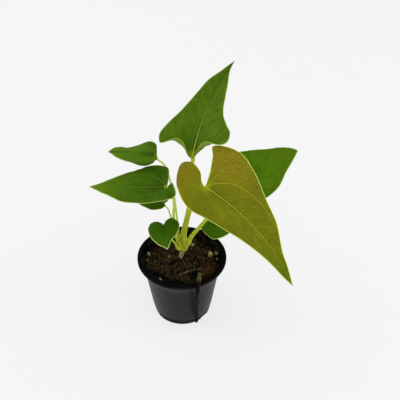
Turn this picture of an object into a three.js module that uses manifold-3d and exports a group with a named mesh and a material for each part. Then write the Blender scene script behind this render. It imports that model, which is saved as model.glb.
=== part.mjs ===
import * as THREE from 'three';
import { mergeVertices } from 'three/addons/utils/BufferGeometryUtils.js';
import Module from 'manifold-3d';

const wasm = await Module();
wasm.setup();

// Every size is in millimetres. X is to the right, Y to the back, Z up.
// The origin is the middle of the pot's underside.

// Pot
const potHeight = 48;
const rimRadius = 30;
const lipHeight = 3;
const lipBottom = potHeight - lipHeight;
const lipOverhang = 3;
const potBaseRadius = 19.1;
const potBaseRounding = 2.4;
const potTopRadius = rimRadius - lipOverhang;
const stepHeight = 39;
const stepWidth = 0.5;
const potWall = 0.9;
const potFloor = 1.2;
const potSides = 40;
const notchCount = 3;
const notchTurn = 82;
const notchWidth = 6.5;
const notchHeight = 2.8;
const padRadius = 7;
const recessRadius = 12.5;
const recessDepth = 0.5;

// Soil
const fitGap = 0.3;
const soilLevel = 41.5;
const soilMound = 2;
const soilDip = 2;
const soilEdgeDrop = 0.5;
const soilRings = 8;
const soilSides = 32;
const barkCount = 26;

// Stem and petioles
const stemRadius = 1.6;
const crownRadius = 2.7;
const crown = [1.2, 5.2, 50];
const sheathLength = 13.5;
const sheathSwell = 1.35;
const petioleSides = 8;
const petioleStep = 5;

// Blades
const bladeThickness = 0.7;
const ribDepth = 0.5;
const ribReach = 0.2;
const attachInset = 1.2;

// One entry for each leaf. base is where the petiole meets the blade. heading is the midrib's direction
// seen from above, rise its slope and roll the blade's turn about it, in degrees. arch bends the midrib
// down and sway bends it sideways towards the tip. fold lifts both halves and cup lets the margins fall.
// right and left run from tip to sinus: [across, along, lift, curl, width of the curled margin].
const leaves = {
  top: {
    colour: 0x3f6f16, base: [7, 15, 120], heading: 69, rise: 50, roll: 2, length: 68.5, width: 44,
    arch: 5, sway: 26, swayPower: 1.5, fold: 0.25, cup: 0, fan: 4, lobe: 7, spokes: [9, 5], rings: 7,
    right: [[1.5, 61.5], [5.5, 53], [9, 43], [11.5, 34.5], [16.5, 27.5], [21, 22.5], [21, 15.5],
      [17, 10.5, 0, 130, 6], [11, 5.5, 0, 150, 9], [4.5, 0.5, 0, 130, 4]],
    left: [[3.5, 57.5], [7, 49.5], [9.5, 40], [13.5, 28.5], [19, 18.5], [23, 10.5], [22, 5],
      [17.5, 2.5, 0, 130, 6], [11, 0, 0, 150, 9], [4.5, -1.5, 0, 130, 4]],
    lobeRib: [[13, 17], [13, 10.5]],
    route: [[0.5, 7, 59.5], [1.8, 8.5, 67.5], [4.1, 11, 77.5], [6.2, 13.5, 94.5], [7, 15.5, 109]],
    thickness: [1.5, 1.2],
  },
  bronze: {
    colour: 0x7a7a1c, base: [15.5, -10, 116.5], heading: -19, rise: -26, roll: 35, length: 88, width: 50,
    arch: 22, sway: 30, swayPower: 1, fold: 0.1, cup: -0.25, fan: 4, lobe: 7, spokes: [10, 6], rings: 5,
    right: [[3.5, 78.5], [6, 67], [10.5, 46.5], [14, 29], [16.5, 11], [17, -2.5], [9, -15.5],
      [-3.5, -20.5], [-9, -15.5], [-7, -8], [-2, -4]],
    left: [[3, 73], [5.5, 62.5], [13.5, 47], [18.5, 34], [28.5, 17.5], [32.5, 7], [30, -3],
      [25.5, -9], [20, -6], [9.5, -2.5], [2, -0.5]],
    lobeRib: [[5, -8.5], [16.5, -1.5]],
    route: [[1.9, 4.2, 62], [3.6, 4, 73], [6, 3, 86], [9.6, -1, 100]],
    thickness: [1.2, 1.1],
  },
  right: {
    colour: 0x3c7414, base: [34, 26, 87.5], heading: 23, rise: 20, roll: 26, length: 51, width: 38,
    arch: 10, sway: 0, swayPower: 1, fold: 0.2, cup: -0.2, fan: 4, lobe: 6, spokes: [8, 4], rings: 5,
    right: [[4.5, 44.5], [10, 35.5], [16.5, 26], [19, 14.5], [18, 2.5], [12.5, -7.5], [5, -5.5]],
    left: [[3, 49], [7.5, 42], [11.5, 32], [16, 23], [19.5, 10.5], [14, -6.5], [5.5, -5.5]],
    lobeRib: [[7, -4], [7.5, -3.5]],
    route: [[4.2, 6.2, 54], [6.6, 7.5, 59], [10.9, 9.5, 64], [15.8, 12, 69.5], [25, 18, 79.5]],
    thickness: [1.5, 0.8],
  },
  small: {
    colour: 0x3c7414, base: [16.5, 17, 63.5], heading: -14, rise: -17, roll: 17, length: 18.5, width: 19,
    arch: 8, sway: -8, swayPower: 1, fold: 0.1, cup: -0.1, fan: 3, lobe: 6, spokes: [6, 4], rings: 4,
    right: [[4.5, 15.5], [8, 12], [10.5, 8], [9.5, 3.5], [7, -1], [4, -3], [1.5, -2]],
    left: [[3, 16.5], [6.5, 12.5], [8.5, 8], [8.5, 3.5], [7, -1], [4, -3], [1.5, -2]],
    lobeRib: [[2.5, -1.2], [2.5, -1.2]],
    route: [[3.4, 10, 53], [8, 14.5, 55], [12.5, 17, 58.5]],
    thickness: [0.6, 0.5],
  },
  mid_left: {
    colour: 0x3a6d12, base: [-9.5, 5, 104], heading: -174, rise: 4, roll: -14, length: 49.5, width: 30,
    arch: 6, sway: 9, swayPower: 1.5, fold: 0.3, cup: -0.2, fan: 4, lobe: 6, spokes: [8, 4], rings: 5,
    right: [[3, 42], [6, 35.5], [10, 26.5], [13, 18], [16.5, 9], [15, -1.5], [6.5, -2]],
    left: [[3.5, 44], [7, 38], [12, 29.5], [13.5, 22.5], [13.5, 11], [10.5, -4.5, 2], [-0.5, -4, 3]],
    lobeRib: [[8, -0.8], [6, -2.4]],
    route: [[-2.9, 4.6, 58.5], [-4.3, 5, 69], [-5.3, 6, 77.5], [-5.2, 7.5, 92.5]],
    thickness: [1.15, 1],
  },
  upper_left: {
    colour: 0x416f18, base: [-16, 20, 118], heading: -178, rise: 14, roll: -21, length: 31.5, width: 18,
    arch: 22, sway: 0, swayPower: 1, fold: 0.5, cup: -0.45, fan: 4, lobe: 6, spokes: [7, 5], rings: 6,
    right: [[3, 28, -1], [5, 23.5, -3], [5.5, 19, -4.5], [7, 12, -2.5], [9.5, 5.5], [8, 1], [3.5, 0]],
    left: [[1.5, 29], [4, 26.5], [6.5, 22], [8, 16.5], [9, 9, 0, -90, 5], [7.5, 2, 0, -130, 5.5],
      [3, -1, 0, -60, 2]],
    lobeRib: [[4.5, 0.6], [4, 1]],
    route: [[-1.4, 7.6, 57.5], [-3, 9.3, 72.2], [-4.5, 12.8, 87.3], [-7.2, 17, 98.9], [-10.3, 20.9, 108.3]],
    thickness: [0.65, 0.55],
  },
  lower_left: {
    colour: 0x447818, base: [-11.5, 10, 86.5], heading: 164, rise: 4, roll: -17, length: 19.5, width: 13,
    arch: 18, sway: -10, swayPower: 1, fold: 0.1, cup: -0.3, fan: 4, lobe: 6, spokes: [6, 4], rings: 4,
    right: [[2, 18], [4, 15.5], [6, 12], [7, 7.5], [7, 3], [4.5, -1.5], [2, -2]],
    left: [[2, 17.5], [4, 15], [5.5, 11], [6.5, 7.5], [6, 3.5], [4.5, 0], [2, -1.5]],
    lobeRib: [[2.5, -0.8], [2.5, -0.2]],
    route: [[-2.8, 8.2, 57], [-4.1, 9.2, 61.5], [-7.1, 11, 73], [-9.3, 11, 81]],
    thickness: [0.5, 0.45],
  },
  heart: {
    colour: 0x3d7a14, base: [-11.5, -5, 80], heading: -88, rise: -1, roll: 9, length: 18.5, width: 20,
    arch: 34, sway: -9, swayPower: 1, fold: 0.1, cup: -0.3, fan: 3, lobe: 6, spokes: [6, 5], rings: 4,
    right: [[2, 16.5], [5.5, 13.5], [9, 7.5], [10.5, 1], [9, -4.5], [5, -5], [1.5, -2.5]],
    left: [[2, 16.5], [4, 13], [7.5, 9.5], [10, 3], [9.5, -3], [5.5, -6.5], [2, -4.5]],
    lobeRib: [[2.8, -2.6], [3, -3.2]],
    route: [[-2.6, 1.5, 53], [-4.1, -0.5, 59.5], [-6.3, -1.5, 64], [-8.8, -2.5, 72]],
    thickness: [0.85, 0.6],
  },
};

// Sheaths at the crown, foot to tip, with the radius at the foot
const sheaths = [
  { points: [[-0.6, 4.2, 49.5], [-1.6, 4.2, 57], [-1.5, 4.3, 64.5]], radius: 1.4 },
  { points: [[2.4, 4, 50], [3.7, 3.4, 56], [4.6, 3.3, 60.5]], radius: 1.3 },
];

// Things in the soil: [x, y, size]
const perliteLumps = [[19.5, 6.5, 4.4], [22.5, 8.6, 2.6], [23.8, 2.7, 2.2], [5.4, 17.4, 1.8], [9.4, 21.5, 2],
  [-22, 7, 3.4], [-23.8, 1.3, 2.6], [-8, 3.4, 2], [-14, -18, 2.6], [8.8, -1.2, 1.8]];
const fibreRoute = [[-1.2, -11.5], [5.6, -8.7], [11, -6.9], [18.4, -5.1]];
const fibreRadius = 0.45;

// The loose root, from its end in the soil over the rim and down
const rootRoute = [[12, -10, 36], [12.1, -13.5, 43], [12, -18, 47.6], [11.7, -23, 49.8], [11.2, -27.5, 50.2],
  [10.7, -30.2, 47.2], [10.3, -30.6, 43.5], [9.8, -28.1, 32], [9.7, -24.8, 19.5], [9.7, -22, 8.2]];
const rootRadii = [1.35, 0.95];

const degrees = Math.PI / 180;

function vector(point) {
  return new THREE.Vector3(...point);
}

function randomFrom(seed) {
  let state = seed;
  return () => {
    state = (state * 16807) % 2147483647;
    return state / 2147483647;
  };
}

// Closed solids from geometry and back
function solidOf(geometry) {
  const bare = geometry.clone();
  for (const name of ['normal', 'uv']) {
    if (bare.hasAttribute(name)) bare.deleteAttribute(name);
  }
  const merged = mergeVertices(bare, 1e-4);
  return new wasm.Manifold(new wasm.Mesh({
    numProp: 3,
    vertProperties: new Float32Array(merged.attributes.position.array),
    triVerts: new Uint32Array(merged.index.array),
  }));
}

function geometryOf(solid) {
  const mesh = solid.getMesh();
  return indexedGeometry(mesh.vertProperties, mesh.triVerts);
}

function indexedGeometry(positions, triangles) {
  const geometry = new THREE.BufferGeometry();
  geometry.setAttribute('position', new THREE.Float32BufferAttribute(positions, 3));
  geometry.setIndex(Array.from(triangles));
  geometry.computeVertexNormals();
  return geometry;
}

function standardMaterial(color, roughness) {
  return new THREE.MeshStandardMaterial({ color, roughness, metalness: 0 });
}

const plant = new THREE.Group();

function place(name, geometry, material) {
  const mesh = new THREE.Mesh(geometry, material);
  mesh.name = name;
  plant.add(mesh);
}

// Pot: one revolved wall with a lip, notches cut through its lower edge and a shallow ring under its floor
function potOuterRadius(z) {
  const taper = (potTopRadius - stepWidth - potBaseRadius) / lipBottom;
  return potBaseRadius + taper * z + (z > stepHeight ? stepWidth : 0);
}

function potInnerRadius(z) {
  return potOuterRadius(z) - potWall;
}

function lathe(points, sides) {
  const profile = points.map(([r, z]) => new THREE.Vector2(r, z));
  return new THREE.LatheGeometry(profile, sides).rotateX(Math.PI / 2);
}

function potGeometry() {
  const lipEdge = 0.5;
  const profile = [[0, 0], [padRadius, 0], [padRadius + 0.5, recessDepth], [recessRadius, recessDepth],
    [recessRadius + 0.5, 0]];
  const corner = new THREE.Vector2(potBaseRadius - potBaseRounding, potBaseRounding);
  for (const angle of [-90, -45, 0]) {
    const a = angle * degrees;
    profile.push([corner.x + potBaseRounding * Math.cos(a), corner.y + potBaseRounding * Math.sin(a)]);
  }
  profile.push([potOuterRadius(stepHeight), stepHeight]);
  profile.push([potOuterRadius(stepHeight) + stepWidth, stepHeight + stepWidth]);
  profile.push([potTopRadius, lipBottom], [rimRadius - lipEdge / 2, lipBottom], [rimRadius, lipBottom + lipEdge]);
  profile.push([rimRadius, potHeight - lipEdge], [rimRadius - lipEdge, potHeight]);
  profile.push([potInnerRadius(lipBottom) + lipEdge, potHeight], [potInnerRadius(lipBottom), potHeight - lipEdge]);
  profile.push([potInnerRadius(stepHeight) + stepWidth, stepHeight + stepWidth]);
  profile.push([potInnerRadius(stepHeight), stepHeight], [potInnerRadius(potFloor), potFloor], [0, potFloor]);
  let pot = solidOf(lathe(profile, potSides));
  for (let i = 0; i < notchCount; i += 1) {
    const notch = new THREE.BoxGeometry(2 * (potBaseRadius - recessRadius), notchWidth, 2 * notchHeight);
    notch.translate(potBaseRadius + 0.6, 0, 0);
    notch.rotateZ(notchTurn * degrees + (2 * Math.PI * i) / notchCount);
    pot = pot.subtract(solidOf(notch));
  }
  return geometryOf(pot);
}

// Tapered tube along a smooth route, closed at both ends
function tubeGeometry(curve, radiusAt, steps, sides, from = 0, to = 1) {
  const positions = [];
  const triangles = [];
  let across = new THREE.Vector3(1, 0, 0);
  for (let i = 0; i <= steps; i += 1) {
    const u = Math.min(to, from + ((to - from) * i) / steps);
    const centre = curve.getPointAt(u);
    const along = curve.getTangentAt(u);
    across = across.clone().addScaledVector(along, -across.dot(along)).normalize();
    const up = along.clone().cross(across);
    for (let k = 0; k < sides; k += 1) {
      const angle = (2 * Math.PI * k) / sides;
      const point = centre.clone();
      point.addScaledVector(across, radiusAt(u) * Math.cos(angle));
      point.addScaledVector(up, radiusAt(u) * Math.sin(angle));
      positions.push(...point);
    }
  }
  const foot = positions.length / 3;
  positions.push(...curve.getPointAt(from), ...curve.getPointAt(to));
  for (let k = 0; k < sides; k += 1) {
    const next = (k + 1) % sides;
    for (let i = 0; i < steps; i += 1) {
      const a = i * sides;
      triangles.push(a + k, a + next, a + sides + next, a + k, a + sides + next, a + sides + k);
    }
    const last = steps * sides;
    triangles.push(foot, next, k, foot + 1, last + k, last + next);
  }
  return indexedGeometry(positions, triangles);
}

// Blade: margin curves to the right and left of the midrib, joined to the skeleton by straight spokes
function marginCurves(leaf, side) {
  const points = side > 0 ? leaf.right : leaf.left;
  const rows = [[0, leaf.length], ...points, [0, -0.6]].map((row) => [...row, 0, 0, 0].slice(0, 5));
  const flat = new THREE.SplineCurve(rows.map(([x, y]) => new THREE.Vector2(side * x, y)));
  const form = new THREE.CatmullRomCurve3(rows.map((row) => vector(row.slice(2))), false, 'catmullrom', 0.5);
  return { flat, form, count: rows.length - 1 };
}

function bladeSpokes(leaf) {
  const margins = [1, -1].map((side) => marginCurves(leaf, side));
  const last = margins[0].count;
  const [fanSpokes, lobeSpokes] = leaf.spokes;
  const sweep = 0.9;
  const halves = [[], []];
  let reach = leaf.length;
  for (let i = 0; i <= fanSpokes; i += 1) {
    const t = ((leaf.fan / last) * i) / fanSpokes;
    const ends = margins.map((margin) => margin.flat.getPoint(t));
    const mean = ends.reduce((sum, end) => sum + end.y - sweep * Math.abs(end.x), 0) / 2;
    reach = i === fanSpokes ? 0 : Math.max(0, Math.min(reach, mean));
    halves.forEach((half) => half.push({ t, root: new THREE.Vector2(0, reach) }));
  }
  halves.forEach((half, index) => {
    const side = index === 0 ? 1 : -1;
    const rib = new THREE.Vector2(side * leaf.lobeRib[index][0], leaf.lobeRib[index][1]);
    const stages = [[leaf.fan, leaf.lobe, 0], [leaf.lobe, last, 1]];
    for (const [start, end, back] of stages) {
      for (let i = 1; i <= lobeSpokes; i += 1) {
        const part = i / lobeSpokes;
        const along = Math.sin(((back ? 1 - part : part) * Math.PI) / 2);
        half.push({ t: (start + (end - start) * part) / last, root: rib.clone().multiplyScalar(along) });
      }
    }
  });
  return { margins, halves };
}

function midribTable(leaf) {
  const steps = 120;
  const table = [{ y: 0, centre: new THREE.Vector3() }];
  for (let i = 1; i <= steps; i += 1) {
    const u = (i - 0.5) / steps;
    const down = leaf.arch * degrees * u;
    const aside = leaf.sway * degrees * u ** leaf.swayPower;
    const step = new THREE.Vector3(Math.sin(aside) * Math.cos(down), Math.cos(aside) * Math.cos(down), -Math.sin(down));
    const centre = table[i - 1].centre.clone().addScaledVector(step, leaf.length / steps);
    table.push({ y: (leaf.length * i) / steps, centre });
  }
  return table;
}

function bladeFrame(leaf) {
  const heading = leaf.heading * degrees;
  const rise = leaf.rise * degrees;
  const roll = leaf.roll * degrees;
  const along = new THREE.Vector3(Math.cos(rise) * Math.cos(heading), Math.cos(rise) * Math.sin(heading), Math.sin(rise));
  const level = new THREE.Vector3(Math.sin(heading), -Math.cos(heading), 0);
  const upright = level.clone().cross(along);
  const across = level.clone().multiplyScalar(Math.cos(roll)).addScaledVector(upright, -Math.sin(roll));
  const out = upright.clone().multiplyScalar(Math.cos(roll)).addScaledVector(level, Math.sin(roll));
  return new THREE.Matrix4().makeBasis(across, along, out).setPosition(vector(leaf.base));
}

// Takes a point of the flat blade, with its height over the blade, to its place on the bent blade
function bendPoint(leaf, table, x, y, z) {
  if (y <= 0) return new THREE.Vector3(x, y, z);
  const step = leaf.length / (table.length - 1);
  const index = Math.min(Math.floor(y / step), table.length - 2);
  const centre = table[index].centre.clone().lerp(table[index + 1].centre, y / step - index);
  const u = y / leaf.length;
  const down = leaf.arch * degrees * u;
  const aside = leaf.sway * degrees * u ** leaf.swayPower;
  const along = new THREE.Vector3(Math.sin(aside) * Math.cos(down), Math.cos(aside) * Math.cos(down), -Math.sin(down));
  const across = new THREE.Vector3(Math.cos(aside), -Math.sin(aside), 0);
  const out = across.clone().cross(along);
  return centre.addScaledVector(across, x).addScaledVector(out, z);
}

// Distance along a spoke and height over it, where its outer part curls up or down
function curlPoint(distance, length, curl, width) {
  const start = length - width;
  if (Math.abs(curl) < 1e-3 || width < 0.05 || distance <= start) return [distance, 0];
  const arc = 0.6 * width;
  const radius = arc / curl;
  const turned = Math.min(distance - start, arc) / radius;
  const straight = Math.max(0, distance - start - arc);
  const reach = start + radius * Math.sin(turned) + straight * Math.cos(turned);
  return [reach, radius * (1 - Math.cos(turned)) + straight * Math.sin(turned)];
}

function bladeGeometry(leaf) {
  const { margins, halves } = bladeSpokes(leaf);
  const table = midribTable(leaf);
  const frame = bladeFrame(leaf);
  const half = leaf.width / 2;
  const points = [];
  const ribs = [];
  const known = new Map();
  const faces = [];
  const rims = [];
  halves.forEach((spokes, sideIndex) => {
    const rows = spokes.map(({ t, root }) => {
      const end = margins[sideIndex].flat.getPoint(t);
      const [lift, curl, width] = margins[sideIndex].form.getPoint(t).toArray();
      const span = end.clone().sub(root);
      const length = span.length();
      const row = [];
      for (let r = 0; r <= leaf.rings; r += 1) {
        const f = r / leaf.rings;
        const flat = root.clone().addScaledVector(span, f);
        const key = `${Math.round(1000 * flat.x)},${Math.round(1000 * flat.y)}`;
        if (!known.has(key)) {
          const [reach, curled] = curlPoint(f * length, length, curl * degrees, width);
          const spot = length > 0 ? root.clone().addScaledVector(span, reach / length) : flat;
          const spread = (Math.hypot(spot.x, 1) - 1) / half;
          const height = half * (leaf.fold * spread + leaf.cup * spread * spread) + lift * f * f + curled;
          known.set(key, points.length);
          points.push(bendPoint(leaf, table, spot.x, spot.y, height).applyMatrix4(frame));
          ribs.push(ribDepth * Math.max(0, 1 - f / ribReach) * Math.min(1, length / 8));
        }
        row.push(known.get(key));
      }
      return row;
    });
    for (let i = 0; i + 1 < rows.length; i += 1) {
      for (let r = 0; r < leaf.rings; r += 1) {
        const [a, b, c, d] = [rows[i][r], rows[i][r + 1], rows[i + 1][r + 1], rows[i + 1][r]];
        const split = [[a, d, c], [a, c, b]];
        for (const [p, q, s] of split) {
          if (p !== q && q !== s && s !== p) faces.push(sideIndex === 0 ? [p, q, s] : [p, s, q]);
        }
      }
      const pair = [rows[i + 1][leaf.rings], rows[i][leaf.rings]];
      rims.push(sideIndex === 0 ? pair : pair.reverse());
    }
  });
  return thickened(points, ribs, faces, rims);
}

// Gives a surface its thickness, with the same triangles on both faces
function thickened(points, ribs, faces, rims) {
  const normals = points.map(() => new THREE.Vector3());
  for (const [p, q, s] of faces) {
    const normal = points[q].clone().sub(points[p]).cross(points[s].clone().sub(points[p]));
    [p, q, s].forEach((index) => normals[index].add(normal));
  }
  const count = points.length;
  const upper = points.map((point, i) => point.clone().addScaledVector(normals[i].normalize(), bladeThickness / 2));
  const lower = points.map((point, i) => point.clone().addScaledVector(normals[i], -bladeThickness / 2 - ribs[i]));
  const positions = [...upper, ...lower].flatMap((point) => point.toArray());
  const triangles = [];
  for (const [p, q, s] of faces) triangles.push(p, q, s, count + p, count + s, count + q);
  for (const [p, q] of rims) {
    if (p !== q) triangles.push(p, count + p, count + q, p, count + q, q);
  }
  return indexedGeometry(positions, triangles);
}

// Petiole: from the crown to just under the blade, where it ends with an even gap
function petioleCurve(leaf) {
  const frame = bladeFrame(leaf);
  const out = new THREE.Vector3().setFromMatrixColumn(frame, 2);
  const last = vector(leaf.route[leaf.route.length - 1]);
  const seat = new THREE.Vector3(0, attachInset, 0).applyMatrix4(frame);
  const along = seat.clone().sub(last).normalize();
  const lean = Math.sqrt(1 - along.dot(out) ** 2);
  const depth = bladeThickness / 2 + ribDepth + fitGap + 1.15 * leaf.thickness[1] * lean;
  const end = seat.addScaledVector(out, -depth);
  return new THREE.CatmullRomCurve3([vector(crown), ...leaf.route.map(vector), end], false, 'centripetal');
}

function petioleRadius(leaf, u) {
  const [foot, top] = leaf.thickness;
  const knee = 0.15 * top * Math.exp(-(((u - 0.97) / 0.03) ** 2));
  return foot + (top - foot) * u + knee;
}

function petioleGeometry(leaf) {
  const curve = petioleCurve(leaf);
  const length = curve.getLength();
  const from = (Math.min(sheathLength, 0.6 * length) + fitGap) / length;
  const steps = Math.ceil(((1 - from) * length) / petioleStep);
  return tubeGeometry(curve, (u) => petioleRadius(leaf, u), steps, petioleSides, from, 1);
}

// Crown: the stem in the soil with a knob, the foot of every petiole and two sheaths, grown together
function stemCurve() {
  const points = [[-3, 2.5, 30], [-1.3, 4, 41], [-0.2, 4.6, 45.5], crown];
  return new THREE.CatmullRomCurve3(points.map(vector), false, 'centripetal');
}

function crownSolid() {
  const knob = new THREE.SphereGeometry(crownRadius, 10, 8).scale(1, 1, 1.2).translate(...crown);
  const stem = stemCurve();
  const taper = (u) => stemRadius * (0.85 + 0.15 * u);
  let solid = solidOf(tubeGeometry(stem, taper, 6, petioleSides, fitGap / stem.getLength()));
  solid = solid.add(solidOf(knob));
  for (const leaf of Object.values(leaves)) {
    const curve = petioleCurve(leaf);
    const length = curve.getLength();
    const end = Math.min(sheathLength, 0.6 * length) / length;
    const swollen = (u) => petioleRadius(leaf, u) * (1 + (sheathSwell - 1) * (1 - u / end));
    solid = solid.add(solidOf(tubeGeometry(curve, swollen, 4, petioleSides, 0, end)));
  }
  for (const sheath of sheaths) {
    const curve = new THREE.CatmullRomCurve3(sheath.points.map(vector), false, 'centripetal');
    const pointed = (u) => sheath.radius * (1 - 0.8 * u ** 1.5);
    solid = solid.add(solidOf(tubeGeometry(curve, pointed, 4, petioleSides)));
  }
  return solid;
}

// Soil: a plug inside the pot with an uneven top, chips and lumps grown into it and plain holes
function soilHeight(x, y) {
  const mound = soilMound * Math.exp(-(x * x + (y - 5) ** 2) / 160);
  const dip = soilDip * Math.exp(-((x + 3) ** 2 + (y + 19) ** 2) / 50);
  const crumbs = 0.45 * Math.sin(0.9 * x + 1.3) * Math.cos(1.1 * y) + 0.3 * Math.sin(2.1 * x + 1.7 * y);
  return soilLevel + mound - dip + crumbs;
}

function soilPlug() {
  const bottom = potFloor + fitGap;
  const outer = potInnerRadius(soilLevel);
  const positions = [0, 0, soilHeight(0, 0)];
  const triangles = [];
  for (let ring = 1; ring <= soilRings; ring += 1) {
    const radius = (outer * ring) / soilRings;
    for (let k = 0; k < soilSides; k += 1) {
      const angle = (2 * Math.PI * k) / soilSides;
      const x = radius * Math.cos(angle);
      const y = radius * Math.sin(angle);
      positions.push(x, y, soilHeight(x, y) - (ring === soilRings ? soilEdgeDrop : 0));
    }
  }
  const narrow = potInnerRadius(bottom);
  for (let k = 0; k < soilSides; k += 1) {
    const angle = (2 * Math.PI * k) / soilSides;
    positions.push(narrow * Math.cos(angle), narrow * Math.sin(angle), bottom);
  }
  positions.push(0, 0, bottom);
  const middle = positions.length / 3 - 1;
  for (let k = 0; k < soilSides; k += 1) {
    const next = (k + 1) % soilSides;
    triangles.push(0, 1 + k, 1 + next);
    for (let ring = 0; ring < soilRings; ring += 1) {
      const a = 1 + ring * soilSides;
      const b = a + soilSides;
      triangles.push(a + k, b + k, b + next, a + k, b + next, a + next);
    }
    const edge = 1 + soilRings * soilSides;
    triangles.push(middle, edge + next, edge + k);
  }
  return solidOf(indexedGeometry(positions, triangles));
}

// The room inside the pot, less an even gap all round
function potRoom() {
  const profile = [[0, potFloor + fitGap], [potInnerRadius(potFloor) - fitGap, potFloor + fitGap],
    [potInnerRadius(stepHeight) - fitGap, stepHeight],
    [potInnerRadius(stepHeight) + stepWidth - fitGap, stepHeight + stepWidth],
    [potInnerRadius(lipBottom) - fitGap, potHeight], [0, potHeight]];
  return solidOf(lathe(profile, potSides));
}

function soilSolid() {
  const random = randomFrom(17);
  let soil = soilPlug();
  for (let i = 0; i < barkCount; i += 1) {
    const angle = 2 * Math.PI * random();
    const radius = 5 + 16 * Math.sqrt(random());
    const x = radius * Math.cos(angle);
    const y = radius * Math.sin(angle);
    const chip = new THREE.BoxGeometry(2 + 3 * random(), 1.2 + 1.4 * random(), 1.2 + random());
    chip.rotateX(random() - 0.5).rotateY(random() - 0.5).rotateZ(Math.PI * random());
    chip.translate(x, y, soilHeight(x, y) + 0.1);
    soil = soil.add(solidOf(chip));
  }
  for (const [x, y, size] of perliteLumps) {
    const lump = new THREE.IcosahedronGeometry(size / 2, size > 3 ? 1 : 0).scale(1, 0.85, 0.85);
    lump.rotateZ(x).translate(x, y, soilHeight(x, y));
    soil = soil.add(solidOf(lump));
  }
  const fibre = fibreRoute.map(([x, y]) => new THREE.Vector3(x, y, soilHeight(x, y) + fibreRadius / 2));
  soil = soil.add(solidOf(tubeGeometry(new THREE.CatmullRomCurve3(fibre), () => fibreRadius, 14, 6)));
  const stemHole = tubeGeometry(stemCurve(), () => stemRadius + fitGap, 6, petioleSides);
  const rootHole = tubeGeometry(rootCurve(), () => rootRadii[0] + fitGap, 12, petioleSides, 0, 0.3);
  soil = soil.intersect(potRoom()).subtract(solidOf(stemHole)).subtract(solidOf(rootHole));
  return soil.decompose().sort((a, b) => b.volume() - a.volume())[0];
}

function rootCurve() {
  return new THREE.CatmullRomCurve3(rootRoute.map(vector), false, 'centripetal');
}

function rootGeometry() {
  const curve = rootCurve();
  const taper = (u) => rootRadii[0] + (rootRadii[1] - rootRadii[0]) * u;
  return tubeGeometry(curve, taper, 22, petioleSides, fitGap / curve.getLength());
}

const petioleFinish = standardMaterial(0x9aa832, 0.45);

place('pot', potGeometry(), standardMaterial(0x17181a, 0.4));
place('soil', geometryOf(soilSolid()), standardMaterial(0x2b1c12, 0.95));
place('crown_stem', geometryOf(crownSolid()), standardMaterial(0xa39a5e, 0.6));
for (const [name, leaf] of Object.entries(leaves)) {
  place(`petiole_${name}`, petioleGeometry(leaf), petioleFinish);
  place(`blade_${name}`, bladeGeometry(leaf), standardMaterial(leaf.colour, 0.4));
}
place('loose_root', rootGeometry(), standardMaterial(0x3a2416, 0.8));

export default plant;
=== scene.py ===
import math
import random

import bpy
import numpy as np
from mathutils import Matrix, Vector, noise
from mathutils.bvhtree import BVHTree
from mathutils.interpolate import poly_3d_calc


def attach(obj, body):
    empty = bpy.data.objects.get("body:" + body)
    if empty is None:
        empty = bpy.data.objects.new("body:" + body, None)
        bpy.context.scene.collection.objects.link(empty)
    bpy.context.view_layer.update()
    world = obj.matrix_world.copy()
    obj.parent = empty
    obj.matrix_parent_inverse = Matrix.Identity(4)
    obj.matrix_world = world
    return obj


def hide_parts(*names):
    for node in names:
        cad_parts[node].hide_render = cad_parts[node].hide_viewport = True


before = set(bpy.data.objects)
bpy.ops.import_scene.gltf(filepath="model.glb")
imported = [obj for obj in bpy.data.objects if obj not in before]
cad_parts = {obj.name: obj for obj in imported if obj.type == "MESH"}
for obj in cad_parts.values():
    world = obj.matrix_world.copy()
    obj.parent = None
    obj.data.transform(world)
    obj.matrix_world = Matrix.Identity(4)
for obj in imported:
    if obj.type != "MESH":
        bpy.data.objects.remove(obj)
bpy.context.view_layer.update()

# Lengths in the dictionaries are in millimetres, in the frame's axes. Meshes and materials use metres.
mm = 0.001


# Screen colour, 0 to 255, as the shaders' linear colour
def paint(red, green, blue):
    parts = []
    for value in (red, green, blue):
        part = value / 255
        parts.append(part / 12.92 if part <= 0.04045 else ((part + 0.055) / 1.055) ** 2.4)
    return (*parts, 1)


black = (0, 0, 0, 1)
white = (1, 1, 1, 1)


# Node helpers. A value that is a socket is linked, any other is set


def setInputs(tree, node, inputs):
    for key, value in inputs.items():
        if isinstance(value, bpy.types.NodeSocket):
            tree.links.new(value, node.inputs[key])
        else:
            node.inputs[key].default_value = value


def addNode(tree, kind, inputs, **settings):
    node = tree.nodes.new(kind)
    for name, value in settings.items():
        setattr(node, name, value)
    setInputs(tree, node, inputs)
    return node


# New node group. Each input has its start value, or only the word for its kind of socket
def newGroup(name, kind, inputs, outputs):
    words = {float: "Float", int: "Int", tuple: "Color"}
    tree = bpy.data.node_groups.new(name, kind)
    for label, value in inputs.items():
        word = value if isinstance(value, str) else words[type(value)]
        socket = tree.interface.new_socket(name=label, in_out="INPUT", socket_type="NodeSocket" + word)
        if not isinstance(value, str):
            socket.default_value = value
    for label, word in outputs.items():
        tree.interface.new_socket(name=label, in_out="OUTPUT", socket_type="NodeSocket" + word)
    return tree, tree.nodes.new("NodeGroupInput").outputs, tree.nodes.new("NodeGroupOutput")


def addMath(tree, operation, first, second=0.0, third=0.0, clamp=False):
    inputs = {0: first, 1: second, 2: third}
    return addNode(tree, "ShaderNodeMath", inputs, operation=operation, use_clamp=clamp).outputs[0]


def times(tree, first, second):
    return addMath(tree, "MULTIPLY", first, second)


def plus(tree, first, second, clamp=False):
    return addMath(tree, "ADD", first, second, clamp=clamp)


def larger(tree, first, second):
    return addMath(tree, "MAXIMUM", first, second)


def mixColours(tree, share, first, second):
    return addNode(tree, "ShaderNodeMix", {0: share, 6: first, 7: second}, data_type="RGBA").outputs[2]


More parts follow.
